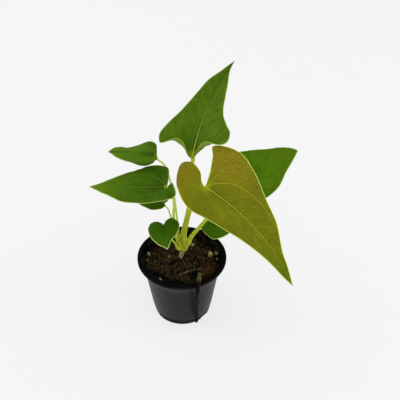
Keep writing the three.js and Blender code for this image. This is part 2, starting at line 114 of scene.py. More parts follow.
# Goes smoothly from first to last while the value goes from low to high
def ramp(tree, value, low, high, first=0.0, last=1.0):
    inputs = {"Value": value, "From Min": low, "From Max": high, "To Min": first, "To Max": last}
    return addNode(tree, "ShaderNodeMapRange", inputs, interpolation_type="SMOOTHSTEP").outputs["Result"]


def splitPlace(tree, place):
    return addNode(tree, "ShaderNodeSeparateXYZ", {0: place}).outputs


def joinPlace(tree, x=0.0, y=0.0, z=0.0):
    return addNode(tree, "ShaderNodeCombineXYZ", {0: x, 1: y, 2: z}).outputs[0]


def axisDistance(tree, parts):
    flat = joinPlace(tree, parts["X"], parts["Y"])
    return addNode(tree, "ShaderNodeVectorMath", {0: flat}, operation="LENGTH").outputs["Value"]


def distanceTo(tree, place, centre):
    return addNode(tree, "ShaderNodeVectorMath", {0: place, 1: centre}, operation="DISTANCE").outputs["Value"]


def scaled(tree, vector, factor):
    return addNode(tree, "ShaderNodeVectorMath", {0: vector, "Scale": factor}, operation="SCALE").outputs[0]


def addNoise(tree, place, scale, detail, output="Fac"):
    inputs = {"Vector": place, "Scale": scale, "Detail": detail}
    return addNode(tree, "ShaderNodeTexNoise", inputs).outputs[output]


def placeGroup(tree, group, inputs):
    return addNode(tree, "ShaderNodeGroup", inputs, node_tree=group).outputs


def attribute(tree, name, output="Fac"):
    return addNode(tree, "ShaderNodeAttribute", {}, attribute_name=name).outputs[output]


# Place on a piece with its pattern drawn out along the height
def drawnOut(tree, place, share):
    return addNode(tree, "ShaderNodeMapping", {"Vector": place, "Scale": (1.0, 1.0, share)}).outputs[0]


def newMaterial(name, constants):
    material = bpy.data.materials.new(name)
    material.use_nodes = True
    tree = material.node_tree
    shader = tree.nodes["Principled BSDF"]
    setInputs(tree, shader, constants)
    return material, tree, shader, addNode(tree, "ShaderNodeTexCoord", {}).outputs["Object"]


# Joins colour, roughness and relief to a material's shader
def dress(tree, shader, colour, roughness, height, strength, depth):
    bump = addNode(tree, "ShaderNodeBump", {"Height": height, "Strength": strength, "Distance": depth})
    setInputs(tree, shader, {"Base Color": colour, "Roughness": roughness, "Normal": bump.outputs["Normal"]})


# Shader groups shared by the materials, with a short way to place each


def makeMottleGroup():
    inputs = {"Place": "Vector", "Patches per metre": 200.0, "Fineness": 4.0, "Low": 0.35, "High": 0.65,
              "First colour": black, "Second colour": white}
    outputs = {"Colour": "Color", "Mask": "Float"}
    tree, given, leave = newGroup("two tone mottle", "ShaderNodeTree", inputs, outputs)
    clouds = addNoise(tree, given["Place"], given["Patches per metre"], given["Fineness"])
    mask = ramp(tree, clouds, given["Low"], given["High"])
    colour = mixColours(tree, mask, given["First colour"], given["Second colour"])
    setInputs(tree, leave, {"Colour": colour, "Mask": mask})
    return tree


def makeCellGroup():
    inputs = {"Place": "Vector", "Cells per metre": 1000.0, "Line width": 0.1}
    outputs = {"Line": "Float", "Height": "Float"}
    tree, given, leave = newGroup("net of cells", "ShaderNodeTree", inputs, outputs)
    cells = addNode(tree, "ShaderNodeTexVoronoi", {
        "Vector": given["Place"], "Scale": given["Cells per metre"],
    }, feature="DISTANCE_TO_EDGE").outputs["Distance"]
    line = ramp(tree, cells, 0.0, given["Line width"], 1.0, 0.0)
    setInputs(tree, leave, {"Line": line, "Height": times(tree, line, -1.0)})
    return tree


def makeGrainGroup():
    inputs = {"Place": "Vector", "Grains per metre": 2000.0, "Middle roughness": 0.5, "Roughness spread": 0.1}
    outputs = {"Height": "Float", "Roughness": "Float"}
    tree, given, leave = newGroup("fine grain", "ShaderNodeTree", inputs, outputs)
    grain = addNoise(tree, given["Place"], given["Grains per metre"], 3.0)
    spread = times(tree, addMath(tree, "SUBTRACT", grain, 0.5), given["Roughness spread"])
    setInputs(tree, leave, {"Height": grain, "Roughness": plus(tree, spread, given["Middle roughness"])})
    return tree


# Streaks that fan out from a point behind the leaf's base, as its finest veins do
def makeFanGroup():
    inputs = {"Place": "Vector", "Behind base": 0.01, "Streaks per radian": 25.0, "Breaks per metre": 120.0}
    tree, given, leave = newGroup("fan of streaks", "ShaderNodeTree", inputs, {"Mask": "Float"})
    parts = splitPlace(tree, given["Place"])
    ahead = plus(tree, parts["Y"], given["Behind base"])
    turn = addMath(tree, "ARCTAN2", parts["X"], ahead)
    squares = plus(tree, times(tree, parts["X"], parts["X"]), times(tree, ahead, ahead))
    reach = addMath(tree, "SQRT", squares)
    across = times(tree, turn, given["Streaks per radian"])
    spot = joinPlace(tree, across, times(tree, reach, given["Breaks per metre"]), parts["Z"])
    setInputs(tree, leave, {"Mask": ramp(tree, addNoise(tree, spot, 1.0, 3.0), 0.36, 0.64)})
    return tree


mottleGroup = makeMottleGroup()
fanGroup = makeFanGroup()
cellGroup = makeCellGroup()
grainGroup = makeGrainGroup()


def addMottle(tree, place, patches, fineness, low, high, first=black, second=white):
    return placeGroup(tree, mottleGroup, {
        "Place": place, "Patches per metre": patches, "Fineness": fineness, "Low": low, "High": high,
        "First colour": first, "Second colour": second,
    })


def addFan(tree, place, behind, streaks, breaks):
    return placeGroup(tree, fanGroup, {
        "Place": place, "Behind base": behind, "Streaks per radian": streaks, "Breaks per metre": breaks,
    })["Mask"]


def addCells(tree, place, cells, width):
    return placeGroup(tree, cellGroup, {"Place": place, "Cells per metre": cells, "Line width": width})


def addGrain(tree, place, grains, middle, spread):
    return placeGroup(tree, grainGroup, {
        "Place": place, "Grains per metre": grains, "Middle roughness": middle, "Roughness spread": spread,
    })


# Mesh helpers


def newMesh(name, points, faces, edges=()):
    mesh = bpy.data.meshes.new(name)
    mesh.from_pydata([tuple(point) for point in points], list(edges), [tuple(face) for face in faces])
    mesh.update()
    return mesh


def newObject(name, data):
    piece = bpy.data.objects.new(name, data)
    bpy.context.scene.collection.objects.link(piece)
    return piece


def setValues(mesh, name, values, kind="FLOAT"):
    layer = mesh.attributes.new(name, kind, "POINT")
    key = "vector" if kind == "FLOAT_VECTOR" else "value"
    layer.data.foreach_set(key, np.asarray(values, dtype=np.float32).ravel())


# Turns a piece with modifiers into a plain mesh
def settle(piece):
    piece.data.update()
    bpy.context.view_layer.update()
    graph = bpy.context.evaluated_depsgraph_get()
    mesh = bpy.data.meshes.new_from_object(piece.evaluated_get(graph), depsgraph=graph)
    piece.modifiers.clear()
    piece.data = mesh
    return piece


# Runs a geometry tree on a piece, its inputs set by name
def runTree(piece, group, values):
    modifier = piece.modifiers.new(group.name, "NODES")
    modifier.node_group = group
    for item in group.interface.items_tree:
        if item.item_type == "SOCKET" and item.in_out == "INPUT" and item.name in values:
            modifier[item.identifier] = values[item.name]
    return settle(piece)


# Cuts other pieces out of this one and deletes them
def cutOut(piece, cutters):
    for cutter in cutters:
        cut = piece.modifiers.new(cutter.name, "BOOLEAN")
        cut.operation = "DIFFERENCE"
        cut.solver = "EXACT"
        cut.object = cutter
    settle(piece)
    for cutter in cutters:
        bpy.data.objects.remove(cutter)


def joinPieces(pieces):
    first = pieces[0]
    with bpy.context.temp_override(active_object=first, object=first, selected_objects=pieces,
                                   selected_editable_objects=pieces):
        bpy.ops.object.join()
    return first


def setFinish(mesh, material):
    mesh.materials.clear()
    mesh.materials.append(material)


def smoothFaces(mesh, angle=None):
    mesh.polygons.foreach_set("use_smooth", [True] * len(mesh.polygons))
    if angle is not None:
        mesh.set_sharp_from_angle(angle=math.radians(angle))


# Hands a finished piece to the frame, in place of its solid
def ready(piece, nodeName):
    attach(piece, "root")
    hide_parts(nodeName)
    print(piece.name, len(piece.data.polygons), "faces")


# Points on a circle round the pot's axis, turned by a share of a step
def circlePoints(radius, sides, turn=0.0):
    angles = [2 * math.pi * (k + turn) / sides for k in range(sides)]
    return [(radius * math.cos(angle), radius * math.sin(angle)) for angle in angles]


# Routes: smooth lines through points, sampled at even distances

routeSteps = 400


# Centripetal spline through the points, place from 0 to 1 by knots
def routePoint(points, place):
    last = len(points) - 1
    index = min(int(place * last), last - 1)
    part = place * last - index
    start = points[index]
    stop = points[index + 1]
    before = points[index - 1] if index > 0 else start * 2 - points[1]
    after = points[index + 2] if index + 2 <= last else stop * 2 - points[last - 1]
    gaps = [max((b - a).length ** 0.5, 1e-4) for a, b in ((before, start), (start, stop), (stop, after))]
    gap = gaps[1]
    leaveSpeed = ((start - before) / gaps[0] - (stop - before) / (gaps[0] + gap) + (stop - start) / gap) * gap
    reachSpeed = ((stop - start) / gap - (after - start) / (gap + gaps[2]) + (after - stop) / gaps[2]) * gap
    cubic = start * 2 - stop * 2 + leaveSpeed + reachSpeed
    square = stop * 3 - start * 3 - leaveSpeed * 2 - reachSpeed
    return cubic * part ** 3 + square * part ** 2 + leaveSpeed * part + start


# Fine samples of a route, with its length up to each
def measureRoute(points):
    knots = [Vector(point) for point in points]
    samples = [routePoint(knots, i / routeSteps) for i in range(routeSteps + 1)]
    lengths = [0.0]
    for start, stop in zip(samples, samples[1:]):
        lengths.append(lengths[-1] + (stop - start).length)
    return samples, lengths


# Points at even distances between two shares of a route's length
def evenRoute(points, count, first=0.0, last=1.0):
    samples, lengths = measureRoute(points)
    route = []
    index = 0
    for i in range(count):
        goal = lengths[-1] * (first + (last - first) * i / (count - 1))
        while index < routeSteps - 1 and lengths[index + 1] < goal:
            index += 1
        part = (goal - lengths[index]) / max(lengths[index + 1] - lengths[index], 1e-9)
        route.append(samples[index].lerp(samples[index + 1], part))
    return route


# Edges along paths. A path is a list of (place, thickness, extra values...)
def pathMesh(name, paths, extra=()):
    points = []
    edges = []
    columns = [[] for _ in range(1 + len(extra))]
    for path in paths:
        for i, (place, *values) in enumerate(path):
            if i:
                edges.append((len(points) - 1, len(points)))
            points.append(place)
            for column, value in zip(columns, values):
                column.append(value)
    mesh = newMesh(name, points, [], edges)
    for label, column in zip(("thickness", *extra), columns):
        setValues(mesh, label, column)
    return mesh


# Geometry tree helpers


def newShapeTree(name, inputs):
    tree, given, leave = newGroup(name, "GeometryNodeTree", {"Geometry": "Geometry", **inputs},
                                  {"Geometry": "Geometry"})
    tree.is_modifier = True
    return tree, given, leave


# Every tree ends in real geometry with its finish
def endTree(tree, leave, geometry, finish):
    real = addNode(tree, "GeometryNodeRealizeInstances", {0: geometry}).outputs[0]
    painted = addNode(tree, "GeometryNodeSetMaterial", {0: real, "Material": finish}).outputs[0]
    setInputs(tree, leave, {0: painted})


def storedValue(tree, name):
    node = addNode(tree, "GeometryNodeInputNamedAttribute", {"Name": name}, data_type="FLOAT")
    return node.outputs["Attribute"]


def position(tree):
    return addNode(tree, "GeometryNodeInputPosition", {}).outputs[0]


def isOver(tree, value, limit):
    return addNode(tree, "FunctionNodeCompare", {0: value, 1: limit}, operation="GREATER_THAN").outputs[0]


def shifted(tree, geometry, offset):
    return addNode(tree, "GeometryNodeSetPosition", {"Geometry": geometry, "Offset": offset}).outputs[0]


def smoothed(tree, geometry):
    return addNode(tree, "GeometryNodeSetShadeSmooth", {0: geometry}).outputs[0]


def circleProfile(tree, sides):
    circle = addNode(tree, "GeometryNodeCurvePrimitiveCircle", {"Resolution": sides, "Radius": 1.0})
    return circle.outputs["Curve"]


# Tube along loose edges, at every point as thick as its stored value says
def addTube(tree, edges, profile):
    return addNode(tree, "GeometryNodeCurveToMesh", {
        "Curve": addNode(tree, "GeometryNodeMeshToCurve", {"Mesh": edges}).outputs[0],
        "Profile Curve": profile, "Scale": storedValue(tree, "thickness"), "Fill Caps": True,
    }).outputs[0]


# Tubes on paths, with a groove along one side and a bark-like relief
def makeTubeTree():
    tree, given, leave = newShapeTree("tube on path", {
        "Sides": 16, "Groove depth": 0.0, "Bark relief": 0.0, "Bark grains per metre": 900.0,
        "Finish": "Material",
    })
    near = ramp(tree, splitPlace(tree, position(tree))["Y"], 0.45, 1.0)
    sink = times(tree, times(tree, near, given["Groove depth"]), -1.0)
    profile = shifted(tree, circleProfile(tree, given["Sides"]), joinPlace(tree, y=sink))
    tube = addTube(tree, given["Geometry"], profile)
    grains = addNoise(tree, position(tree), given["Bark grains per metre"], 3.0)
    lift = times(tree, addMath(tree, "SUBTRACT", grains, 0.5), given["Bark relief"])
    normal = addNode(tree, "GeometryNodeInputNormal", {}).outputs[0]
    bark = shifted(tree, tube, scaled(tree, normal, lift))
    endTree(tree, leave, smoothed(tree, bark), given["Finish"])
    return tree


def makeBallTree():
    tree, given, leave = newShapeTree("round start", {"Roundness": 4, "Finish": "Material"})
    ball = addNode(tree, "GeometryNodeMeshIcoSphere", {"Radius": 1.0, "Subdivisions": given["Roundness"]})
    endTree(tree, leave, ball.outputs["Mesh"], given["Finish"])
    return tree


tubeTree = makeTubeTree()
ballTree = makeBallTree()


# Points and faces of a round start with radius 1, for lumps and knobs
def roundStart():
    ball = runTree(newObject("round start", bpy.data.meshes.new("round start")), ballTree, {})
    points = [vertex.co.copy() for vertex in ball.data.vertices]
    faces = [tuple(polygon.vertices) for polygon in ball.data.polygons]
    bpy.data.objects.remove(ball)
    return points, faces


ballPoints, ballFaces = roundStart()


# Pot

potValues = {
    "height": 48.0,
    "rimRadius": 30.0,
    "lipHeight": 2.2,
    "lipOverhang": 3.0,
    "lipRounding": 0.55,
    "lipFlat": 1.6,
    "lipDrop": 0.12,
    "baseRadius": 19.1,
    "baseRounding": 2.4,
    "stepHeight": 39.0,
    "stepWidth": 0.5,
    "wall": 0.9,
    "floor": 1.2,
    "padRadius": 7.0,
    "recessRadius": 12.5,
    "recessDepth": 0.5,
    "notches": 3,
    "notchTurn": 82.0,
    "notchWidth": 6.5,
    "notchHeight": 2.8,
    "notchRounding": 0.9,
    "sides": 200,
    # soft bends of the wall, as (out from the wall, up): at the step and under the lip
    "stepBends": [(-0.02, -0.3), (0.1, 0.0), (0.42, 0.36)],
    "lipBends": [(-0.25, -0.6), (0.0, -0.2), (0.3, 0.0)],
    "colour": paint(17, 17, 18),
    # colour of the painted shade on and under the lip
    "paintedShadeBlack": (0.001, 0.001, 0.001, 1),
    # colour of the painted shade on the inner wall, darker than the plastic itself
    "insideShadeBlack": (0.0008, 0.0008, 0.0008, 1),
    "dust": paint(40, 39, 37),
    "soilStain": paint(40, 30, 16),
    # colour of the random scuffs, also of the painted highlight on the step ring and the painted light on the
    # foot
    "scuffAndPaintedLight": paint(96, 96, 94),
    "roughness": 0.42,
}


def potOuter(z):
    v = potValues
    top = v["rimRadius"] - v["lipOverhang"] - v["stepWidth"]
    taper = (top - v["baseRadius"]) / (v["height"] - v["lipHeight"])
    return v["baseRadius"] + taper * z + (v["stepWidth"] if z > v["stepHeight"] else 0.0)


def potInner(z):
    return potOuter(z) - potValues["wall"]


# Points of a rounded corner, from the first angle to the last
def corner(centre, radius, first, last, count):
    arc = []
    for i in range(count + 1):
        angle = math.radians(first + (last - first) * i / count)
        arc.append((centre[0] + radius * math.cos(angle), centre[1] + radius * math.sin(angle)))
    return arc


# Drops points that repeat within a face
def cleanFace(ring):
    return [index for i, index in enumerate(ring) if index not in ring[:i]]


# Closed ring mesh from a profile of (radius, height) that starts and ends on the axis
def revolve(profile, sides):
    points = []
    faces = []
    loops = []
    for radius, height in profile:
        count = sides if radius > 0 else 1
        loops.append([len(points) + k % count for k in range(sides)])
        points += [(x, y, height * mm) for x, y in circlePoints(radius * mm, sides)[:count]]
    for lower, upper in zip(loops, loops[1:]):
        for k in range(sides):
            following = (k + 1) % sides
            faces.append(cleanFace([lower[k], lower[following], upper[following], upper[k]]))
    return points, faces


# The wall in section, from the middle of the underside round the lip to the middle of the floor
def potProfile():
    v = potValues
    top = v["height"]
    floor = v["floor"]
    step = v["stepHeight"]
    edge = v["lipRounding"]
    foot = v["baseRounding"]
    lipBottom = top - v["lipHeight"]
    lipTop = top - v["lipDrop"]
    neck = v["rimRadius"] - v["lipOverhang"]
    inner = potInner(lipBottom)
    profile = [(0, 0), (v["padRadius"], 0), (v["padRadius"] + 0.5, v["recessDepth"]),
               (v["recessRadius"], v["recessDepth"]), (v["recessRadius"] + 0.5, 0)]
    profile += corner((v["baseRadius"] - foot, foot), foot, -90, 0, 10)
    profile += [(potOuter(z), z) for z in (8, 14, 20, 26, 32, 37)]
    profile += [(potOuter(step) + out, step + up) for out, up in v["stepBends"]]
    profile += [(potOuter(step + 1), step + 0.75)]
    profile += [(neck + out, lipBottom + up) for out, up in v["lipBends"]]
    profile += corner((v["rimRadius"] - edge, lipBottom + edge), edge, -90, 0, 5)
    profile += corner((v["rimRadius"] - edge, top - edge), edge, 0, 90, 5)
    profile += [(inner + v["lipFlat"], top), (inner + v["lipFlat"] - 0.1, lipTop)]
    profile += corner((inner + edge, lipTop - edge), edge, 90, 180, 4)
    profile += [(potInner(step) + v["stepWidth"], step + 0.6), (potInner(step), step - 0.1)]
    profile += [(potInner(z), z) for z in (32, 24, 16, 8, 3)]
    return profile + [(potInner(floor) - 1.2, floor + 0.35), (potInner(floor) - 2.4, floor), (0, floor)]


# Rounded blocks that cut the drain notches
def notchCutter():
    v = potValues
    half = v["notchWidth"] / 2
    edge = v["notchRounding"]
    top = v["notchHeight"]
    outline = [(-half, -2.0), (half, -2.0)]
    outline += corner((half - edge, top - edge), edge, 0, 90, 5)
    outline += corner((-half + edge, top - edge), edge, 90, 180, 5)
    count = len(outline)
    points = []
    faces = []
    for i in range(v["notches"]):
        turn = Matrix.Rotation(math.radians(v["notchTurn"] + 360 / v["notches"] * i), 3, "Z")
        inside = len(points)
        outside = inside + count
        for radius in (v["recessRadius"] + 0.1, v["baseRadius"] + 8):
            points += [turn @ Vector((radius, y, z)) * mm for y, z in outline]
        faces.append(list(range(outside - 1, inside - 1, -1)))
        faces.append(list(range(outside, outside + count)))
        for k in range(count):
            following = (k + 1) % count
            faces.append((inside + k, inside + following, outside + following, outside + k))
    return newObject("notch cutter", newMesh("notch cutter", points, faces))


def potFinish():
    v = potValues
    constants = {"IOR": 1.45, "Specular IOR Level": 0.2}
    material, tree, shader, spot = newMaterial("satin black plastic", constants)
    parts = splitPlace(tree, spot)
    height = parts["Z"]
    dust = addMottle(tree, spot, patches=90, fineness=6, low=0.5, high=0.78, first=v["colour"],
                     second=v["dust"])
    stains = addMottle(tree, spot, patches=160, fineness=5, low=0.46, high=0.62)["Mask"]
    scuffs = addMottle(tree, drawnOut(tree, spot, 0.4), patches=330, fineness=7, low=0.7, high=0.76)["Mask"]
    # the radius less that of the outer wall at this height tells the inner wall from the outer one
    taper = (potOuter(v["stepHeight"]) - v["baseRadius"]) / v["stepHeight"]
    wall = addMath(tree, "MULTIPLY_ADD", height, taper, v["baseRadius"] * mm)
    gap = addMath(tree, "SUBTRACT", axisDistance(tree, parts), wall)
    inside = times(tree, ramp(tree, gap, -0.00034, -0.0001, 1.0, 0.0), ramp(tree, height, 0.0024, 0.003))
    stained = times(tree, times(tree, inside, ramp(tree, height, 0.038, 0.0405)), stains)
    # a painted highlight along the step ring, painted light on the rounded foot where the floor under it is
    # shaded, and painted shade on and under the lip
    away = addMath(tree, "ABSOLUTE", addMath(tree, "SUBTRACT", height, 0.0392))
    ring = times(tree, ramp(tree, away, 0.0002, 0.0006, 0.7, 0.0), stains)
    foot = ramp(tree, height, 0.0004, 0.0026, 0.55, 0.0)
    lip = ramp(tree, height, 0.0446, 0.0454)
    shade = larger(tree, times(tree, lip, 0.92), ramp(tree, height, 0.039, 0.0398, 0.0, 0.68))
    colour = mixColours(tree, 0.35, v["colour"], dust["Colour"])
    # random scuffs, then the painted highlight on the step ring and the painted light on the foot
    for mask in (times(tree, scuffs, 0.5), ring, foot):
        colour = mixColours(tree, mask, colour, v["scuffAndPaintedLight"])
    colour = mixColours(tree, shade, colour, v["paintedShadeBlack"])
    # painted shade: the inner wall goes towards near black
    colour = mixColours(tree, times(tree, inside, 0.8), colour, v["insideShadeBlack"])
    colour = mixColours(tree, stained, colour, v["soilStain"])
    grain = addGrain(tree, spot, grains=2600, middle=v["roughness"], spread=0.12)
    dull = times(tree, larger(tree, inside, times(tree, lip, 0.8)), 0.5)
    roughness = plus(tree, grain["Roughness"], dull, clamp=True)
    dress(tree, shader, colour, roughness, grain["Height"], 0.12, 0.0002)
    return material


def makePot():
    points, faces = revolve(potProfile(), potValues["sides"])
    pot = newObject("black_nursery_pot", newMesh("pot", points, faces))
    cutOut(pot, [notchCutter()])
    smoothFaces(pot.data, 32)
    setFinish(pot.data, potFinish())
    ready(pot, "pot")


makePot()


# Soil

soilValues = {
    "level": 41.5,
    # places that rise or sink: x, y, height, spread
    "mound": (0, 5, 2.0, 160),
    "dip": (-3, -19, -2.0, 50),
    "hollow": (10.5, -15.5, -1.6, 16),
    "gap": 0.3,
    "bottom": 1.5,
    "edgeDrop": 0.5,
    "edgeReach": 1.5,
    "relief": 0.75,
    "stemHole": 1.9,
    "rootHole": 1.65,
    "rings": 66,
    "sides": 210,
    "quickShare": 0.4,
    # colour of the painted shade on the soil and the loose bits
    "black": paint(2, 1, 1),
    "dark": paint(6, 4, 1),
    "brown": paint(80, 55, 16),
    "red": paint(92, 46, 14),
    "green": paint(46, 44, 10),
}

# Finishes of the loose bits: dark tone, pale tone, roughness
bitTones = {
    "red brown bark": (paint(20, 11, 4), paint(122, 74, 28), 0.7),
    "dark bark": (paint(4, 3, 1), paint(100, 80, 38), 0.75),
    "grey grit": (paint(30, 26, 26), paint(150, 140, 142), 0.5),
    "green algae crumbs": (paint(22, 22, 6), paint(70, 72, 22), 0.9),
    "pale fibre": (paint(52, 38, 20), paint(158, 142, 96), 0.7),
}

# Loose bits strewn over the soil, in metres
strewnBits = {
    "chips": {
        "finish": "dark bark", "Pieces per square metre": 132000.0, "Seed": 3, "Smallest": 0.0009,
        "Largest": 0.0034, "Width share": 0.42, "Height share": 0.28, "Tilt": 0.7, "Roundness": 2,
        "Raggedness": 0.0012,
    },
    "red chips": {
        "finish": "red brown bark", "Pieces per square metre": 48400.0, "Seed": 8, "Smallest": 0.0009,
        "Largest": 0.0034, "Width share": 0.45, "Height share": 0.24, "Tilt": 0.7, "Roundness": 2,
        "Raggedness": 0.0012,
    },
    "crumbs": {
        "finish": "dark bark", "Pieces per square metre": 800000.0, "Seed": 21, "Smallest": 0.00025,
        "Largest": 0.0008, "Width share": 0.9, "Height share": 0.8, "Tilt": 3.0, "Roundness": 1,
        "Raggedness": 0.0004,
    },
    "grit": {
        "finish": "grey grit", "Pieces per square metre": 42000.0, "Seed": 33, "Smallest": 0.0003,
        "Largest": 0.0009, "Width share": 0.8, "Height share": 0.8, "Tilt": 3.0, "Roundness": 2,
        "Raggedness": 0.0004, "Lift": 0.0002,
    },
    "moss bits": {
        "finish": "green algae crumbs", "Pieces per square metre": 160000.0, "Seed": 40, "Smallest": 0.0004,
        "Largest": 0.0012, "Width share": 0.8, "Height share": 0.6, "Tilt": 3.0, "Roundness": 2,
        "Raggedness": 0.0007,
    },
}

# Pale lumps in the soil: x, y, size, brightness
perliteLumps = [
    (19.4, 6.4, 4.1, 0.85), (23.5, 8.1, 3.0, 0.8), (23.9, 2.9, 2.0, 0.45), (7.1, 16.0, 2.8, 1.25),
    (8.9, 22.0, 1.8, 0.5), (-22.9, 7.2, 3.0, 0.8), (-23.6, 1.6, 2.3, 0.4), (-8.7, 3.8, 2.4, 0.45),
    (-14.4, -17.7, 2.8, 0.8), (8.8, -1.2, 1.3, 0.4),
]

fibreValues = {
    "main": [(-1.2, -11.5), (5.6, -8.7), (11, -6.9), (18.4, -5.1)],
    "mainRadius": 0.24,
    "count": 26,
    "spread": 23,
    "reach": 24.5,
    "step": 1.5,
    "radii": (0.06, 0.16),
    "tones": (0.0, 0.6),
}

stemRoute = [(-3, 2.5, 30), (-1.3, 4, 41), (-0.2, 4.6, 45.5), (1.2, 5.2, 50)]
rootRoute = [(12, -10, 36), (12.1, -13.5, 43), (12, -18, 47.6), (11.7, -23, 49.8), (11.2, -27.5, 50.2),
             (10.7, -30.2, 47.2), (10.3, -30.6, 43.5), (9.8, -28.1, 32), (9.7, -24.8, 19.5),
             (9.7, -21.6, 6.2)]


def swell(name, x, y):
    middleX, middleY, height, spread = soilValues[name]
    return height * math.exp(-((x - middleX) ** 2 + (y - middleY) ** 2) / spread)


# The soil's main form, as in the solid: a mound at the stem, a dip in front and a few waves
def soilHeight(x, y):
    waves = 0.45 * math.sin(0.9 * x + 1.3) * math.cos(1.1 * y) + 0.3 * math.sin(2.1 * x + 1.7 * y)
    return soilValues["level"] + swell("mound", x, y) + swell("dip", x, y) + waves


# Crumbly height on top of the main form, with a hollow beside the root
def fineSoil(x, y):
    spot = Vector((x, y, 0))
    coarse = noise.fractal(spot * 0.55, 0.9, 2.1, 4)
    lumps = 0.5 - noise.voronoi(spot * 0.62)[0][0]
    return soilValues["relief"] * (0.55 * coarse + 0.75 * lumps) + swell("hollow", x, y)


# The plug of soil: rings of points over its top, then rings down its wall
def soilBed():
    v = soilValues
    sides = v["sides"]
    rings = v["rings"]
    outer = potInner(v["level"]) - v["gap"]
    points = [(0, 0, (soilHeight(0, 0) + fineSoil(0, 0)) * mm)]
    for ring in range(1, rings + 1):
        radius = outer * ring / rings
        edge = max(0.0, 1 - (outer - radius) / v["edgeReach"])
        for x, y in circlePoints(radius, sides, 0.5 * (ring % 2)):
            height = soilHeight(x, y) + fineSoil(x, y) * (1 - 0.5 * edge) - v["edgeDrop"] * edge
            points.append((x * mm, y * mm, height * mm))
    step = potValues["stepHeight"]
    walls = [(step, step - 0.6), (24, 24), (8, 8), (v["bottom"], v["bottom"])]
    for level, height in walls:
        ring = circlePoints(potInner(level) - v["gap"], sides, 0.5 * (rings % 2))
        points += [(x * mm, y * mm, height * mm) for x, y in ring]
    points.append((0, 0, v["bottom"] * mm))
    rows = rings + len(walls)
    faces = []
    for k in range(sides):
        following = (k + 1) % sides
        faces.append((0, 1 + k, 1 + following))
        for row in range(rows - 1):
            a = 1 + row * sides
            b = a + sides
            if row % 2 or row >= rings - 1:
                faces += [(a + k, b + k, b + following), (a + k, b + following, a + following)]
            else:
                faces += [(a + k, b + k, a + following), (b + k, b + following, a + following)]
        last = 1 + (rows - 1) * sides
        faces.append((len(points) - 1, last + following, last + k))
    return newObject("soil_bed", newMesh("soil bed", points, faces))


def holeCutter(name, route, radius, last):
    path = [(point * mm, radius * mm) for point in evenRoute(route, 16, 0, last)]
    return runTree(newObject(name, pathMesh(name, [path])), tubeTree, {"Sides": 14})


def randomValue(tree, low, high, seed):
    inputs = {2: low, 3: high, "Seed": seed}
    return addNode(tree, "FunctionNodeRandomValue", inputs, data_type="FLOAT").outputs[1]


# Strews ragged bits over the upward faces of a surface
def makeStrewTree():
    tree, given, leave = newShapeTree("strewn bits", {
        "Pieces per square metre": 100000.0, "Seed": 1, "Smallest": 0.001, "Largest": 0.003,
        "Width share": 0.5, "Height share": 0.3, "Tilt": 0.5, "Roundness": 1, "Raggedness": 0.0003,
        "Lift": 0.0, "Lowest place": 0.037, "Finish": "Material",
    })
    seed = given["Seed"]
    place = position(tree)
    normal = addNode(tree, "GeometryNodeInputNormal", {}).outputs[0]
    facing = isOver(tree, splitPlace(tree, normal)["Z"], 0.3)
    above = isOver(tree, splitPlace(tree, place)["Z"], given["Lowest place"])
    points = addNode(tree, "GeometryNodeDistributePointsOnFaces", {
        "Mesh": given["Geometry"], "Density": given["Pieces per square metre"], "Seed": seed,
        "Selection": addNode(tree, "FunctionNodeBooleanMath", {0: facing, 1: above}).outputs[0],
    }).outputs["Points"]
    ball = addNode(tree, "GeometryNodeMeshIcoSphere", {"Radius": 0.5, "Subdivisions": given["Roundness"]})
    spins = addNode(tree, "FunctionNodeRandomValue", {
        0: (0.0, 0.0, 0.0), 1: (1.0, 1.0, 6.283), "Seed": seed,
    }, data_type="FLOAT_VECTOR").outputs[0]
    lean = joinPlace(tree, given["Tilt"], given["Tilt"], 1.0)
    turns = addNode(tree, "ShaderNodeVectorMath", {0: spins, 1: lean}, operation="MULTIPLY").outputs[0]
    sizes = randomValue(tree, given["Smallest"], given["Largest"], plus(tree, seed, 7.0))
    widths = randomValue(tree, 0.7, 1.5, plus(tree, seed, 11.0))
    width = times(tree, times(tree, sizes, given["Width share"]), widths)
    bits = addNode(tree, "GeometryNodeInstanceOnPoints", {
        "Points": points, "Instance": ball.outputs["Mesh"],
        "Rotation": addNode(tree, "FunctionNodeEulerToRotation", {0: turns}).outputs[0],
        "Scale": joinPlace(tree, sizes, width, times(tree, sizes, given["Height share"])),
    }).outputs[0]
    toned = addNode(tree, "GeometryNodeStoreNamedAttribute", {
        "Geometry": bits, "Name": "tone", "Value": randomValue(tree, 0.0, 1.0, plus(tree, seed, 3.0)),
    }, data_type="FLOAT", domain="INSTANCE").outputs[0]
    real = addNode(tree, "GeometryNodeRealizeInstances", {0: toned}).outputs[0]
    rag = addNoise(tree, place, 900.0, 2.0, "Color")
    middle = (0.5, 0.5, 0.5)
    centred = addNode(tree, "ShaderNodeVectorMath", {0: rag, 1: middle}, operation="SUBTRACT").outputs[0]
    ragged = scaled(tree, centred, given["Raggedness"])
    offset = addNode(tree, "ShaderNodeVectorMath", {
        0: ragged, 1: joinPlace(tree, z=given["Lift"]),
    }, operation="ADD").outputs[0]
    endTree(tree, leave, shifted(tree, real, offset), given["Finish"])
    return tree


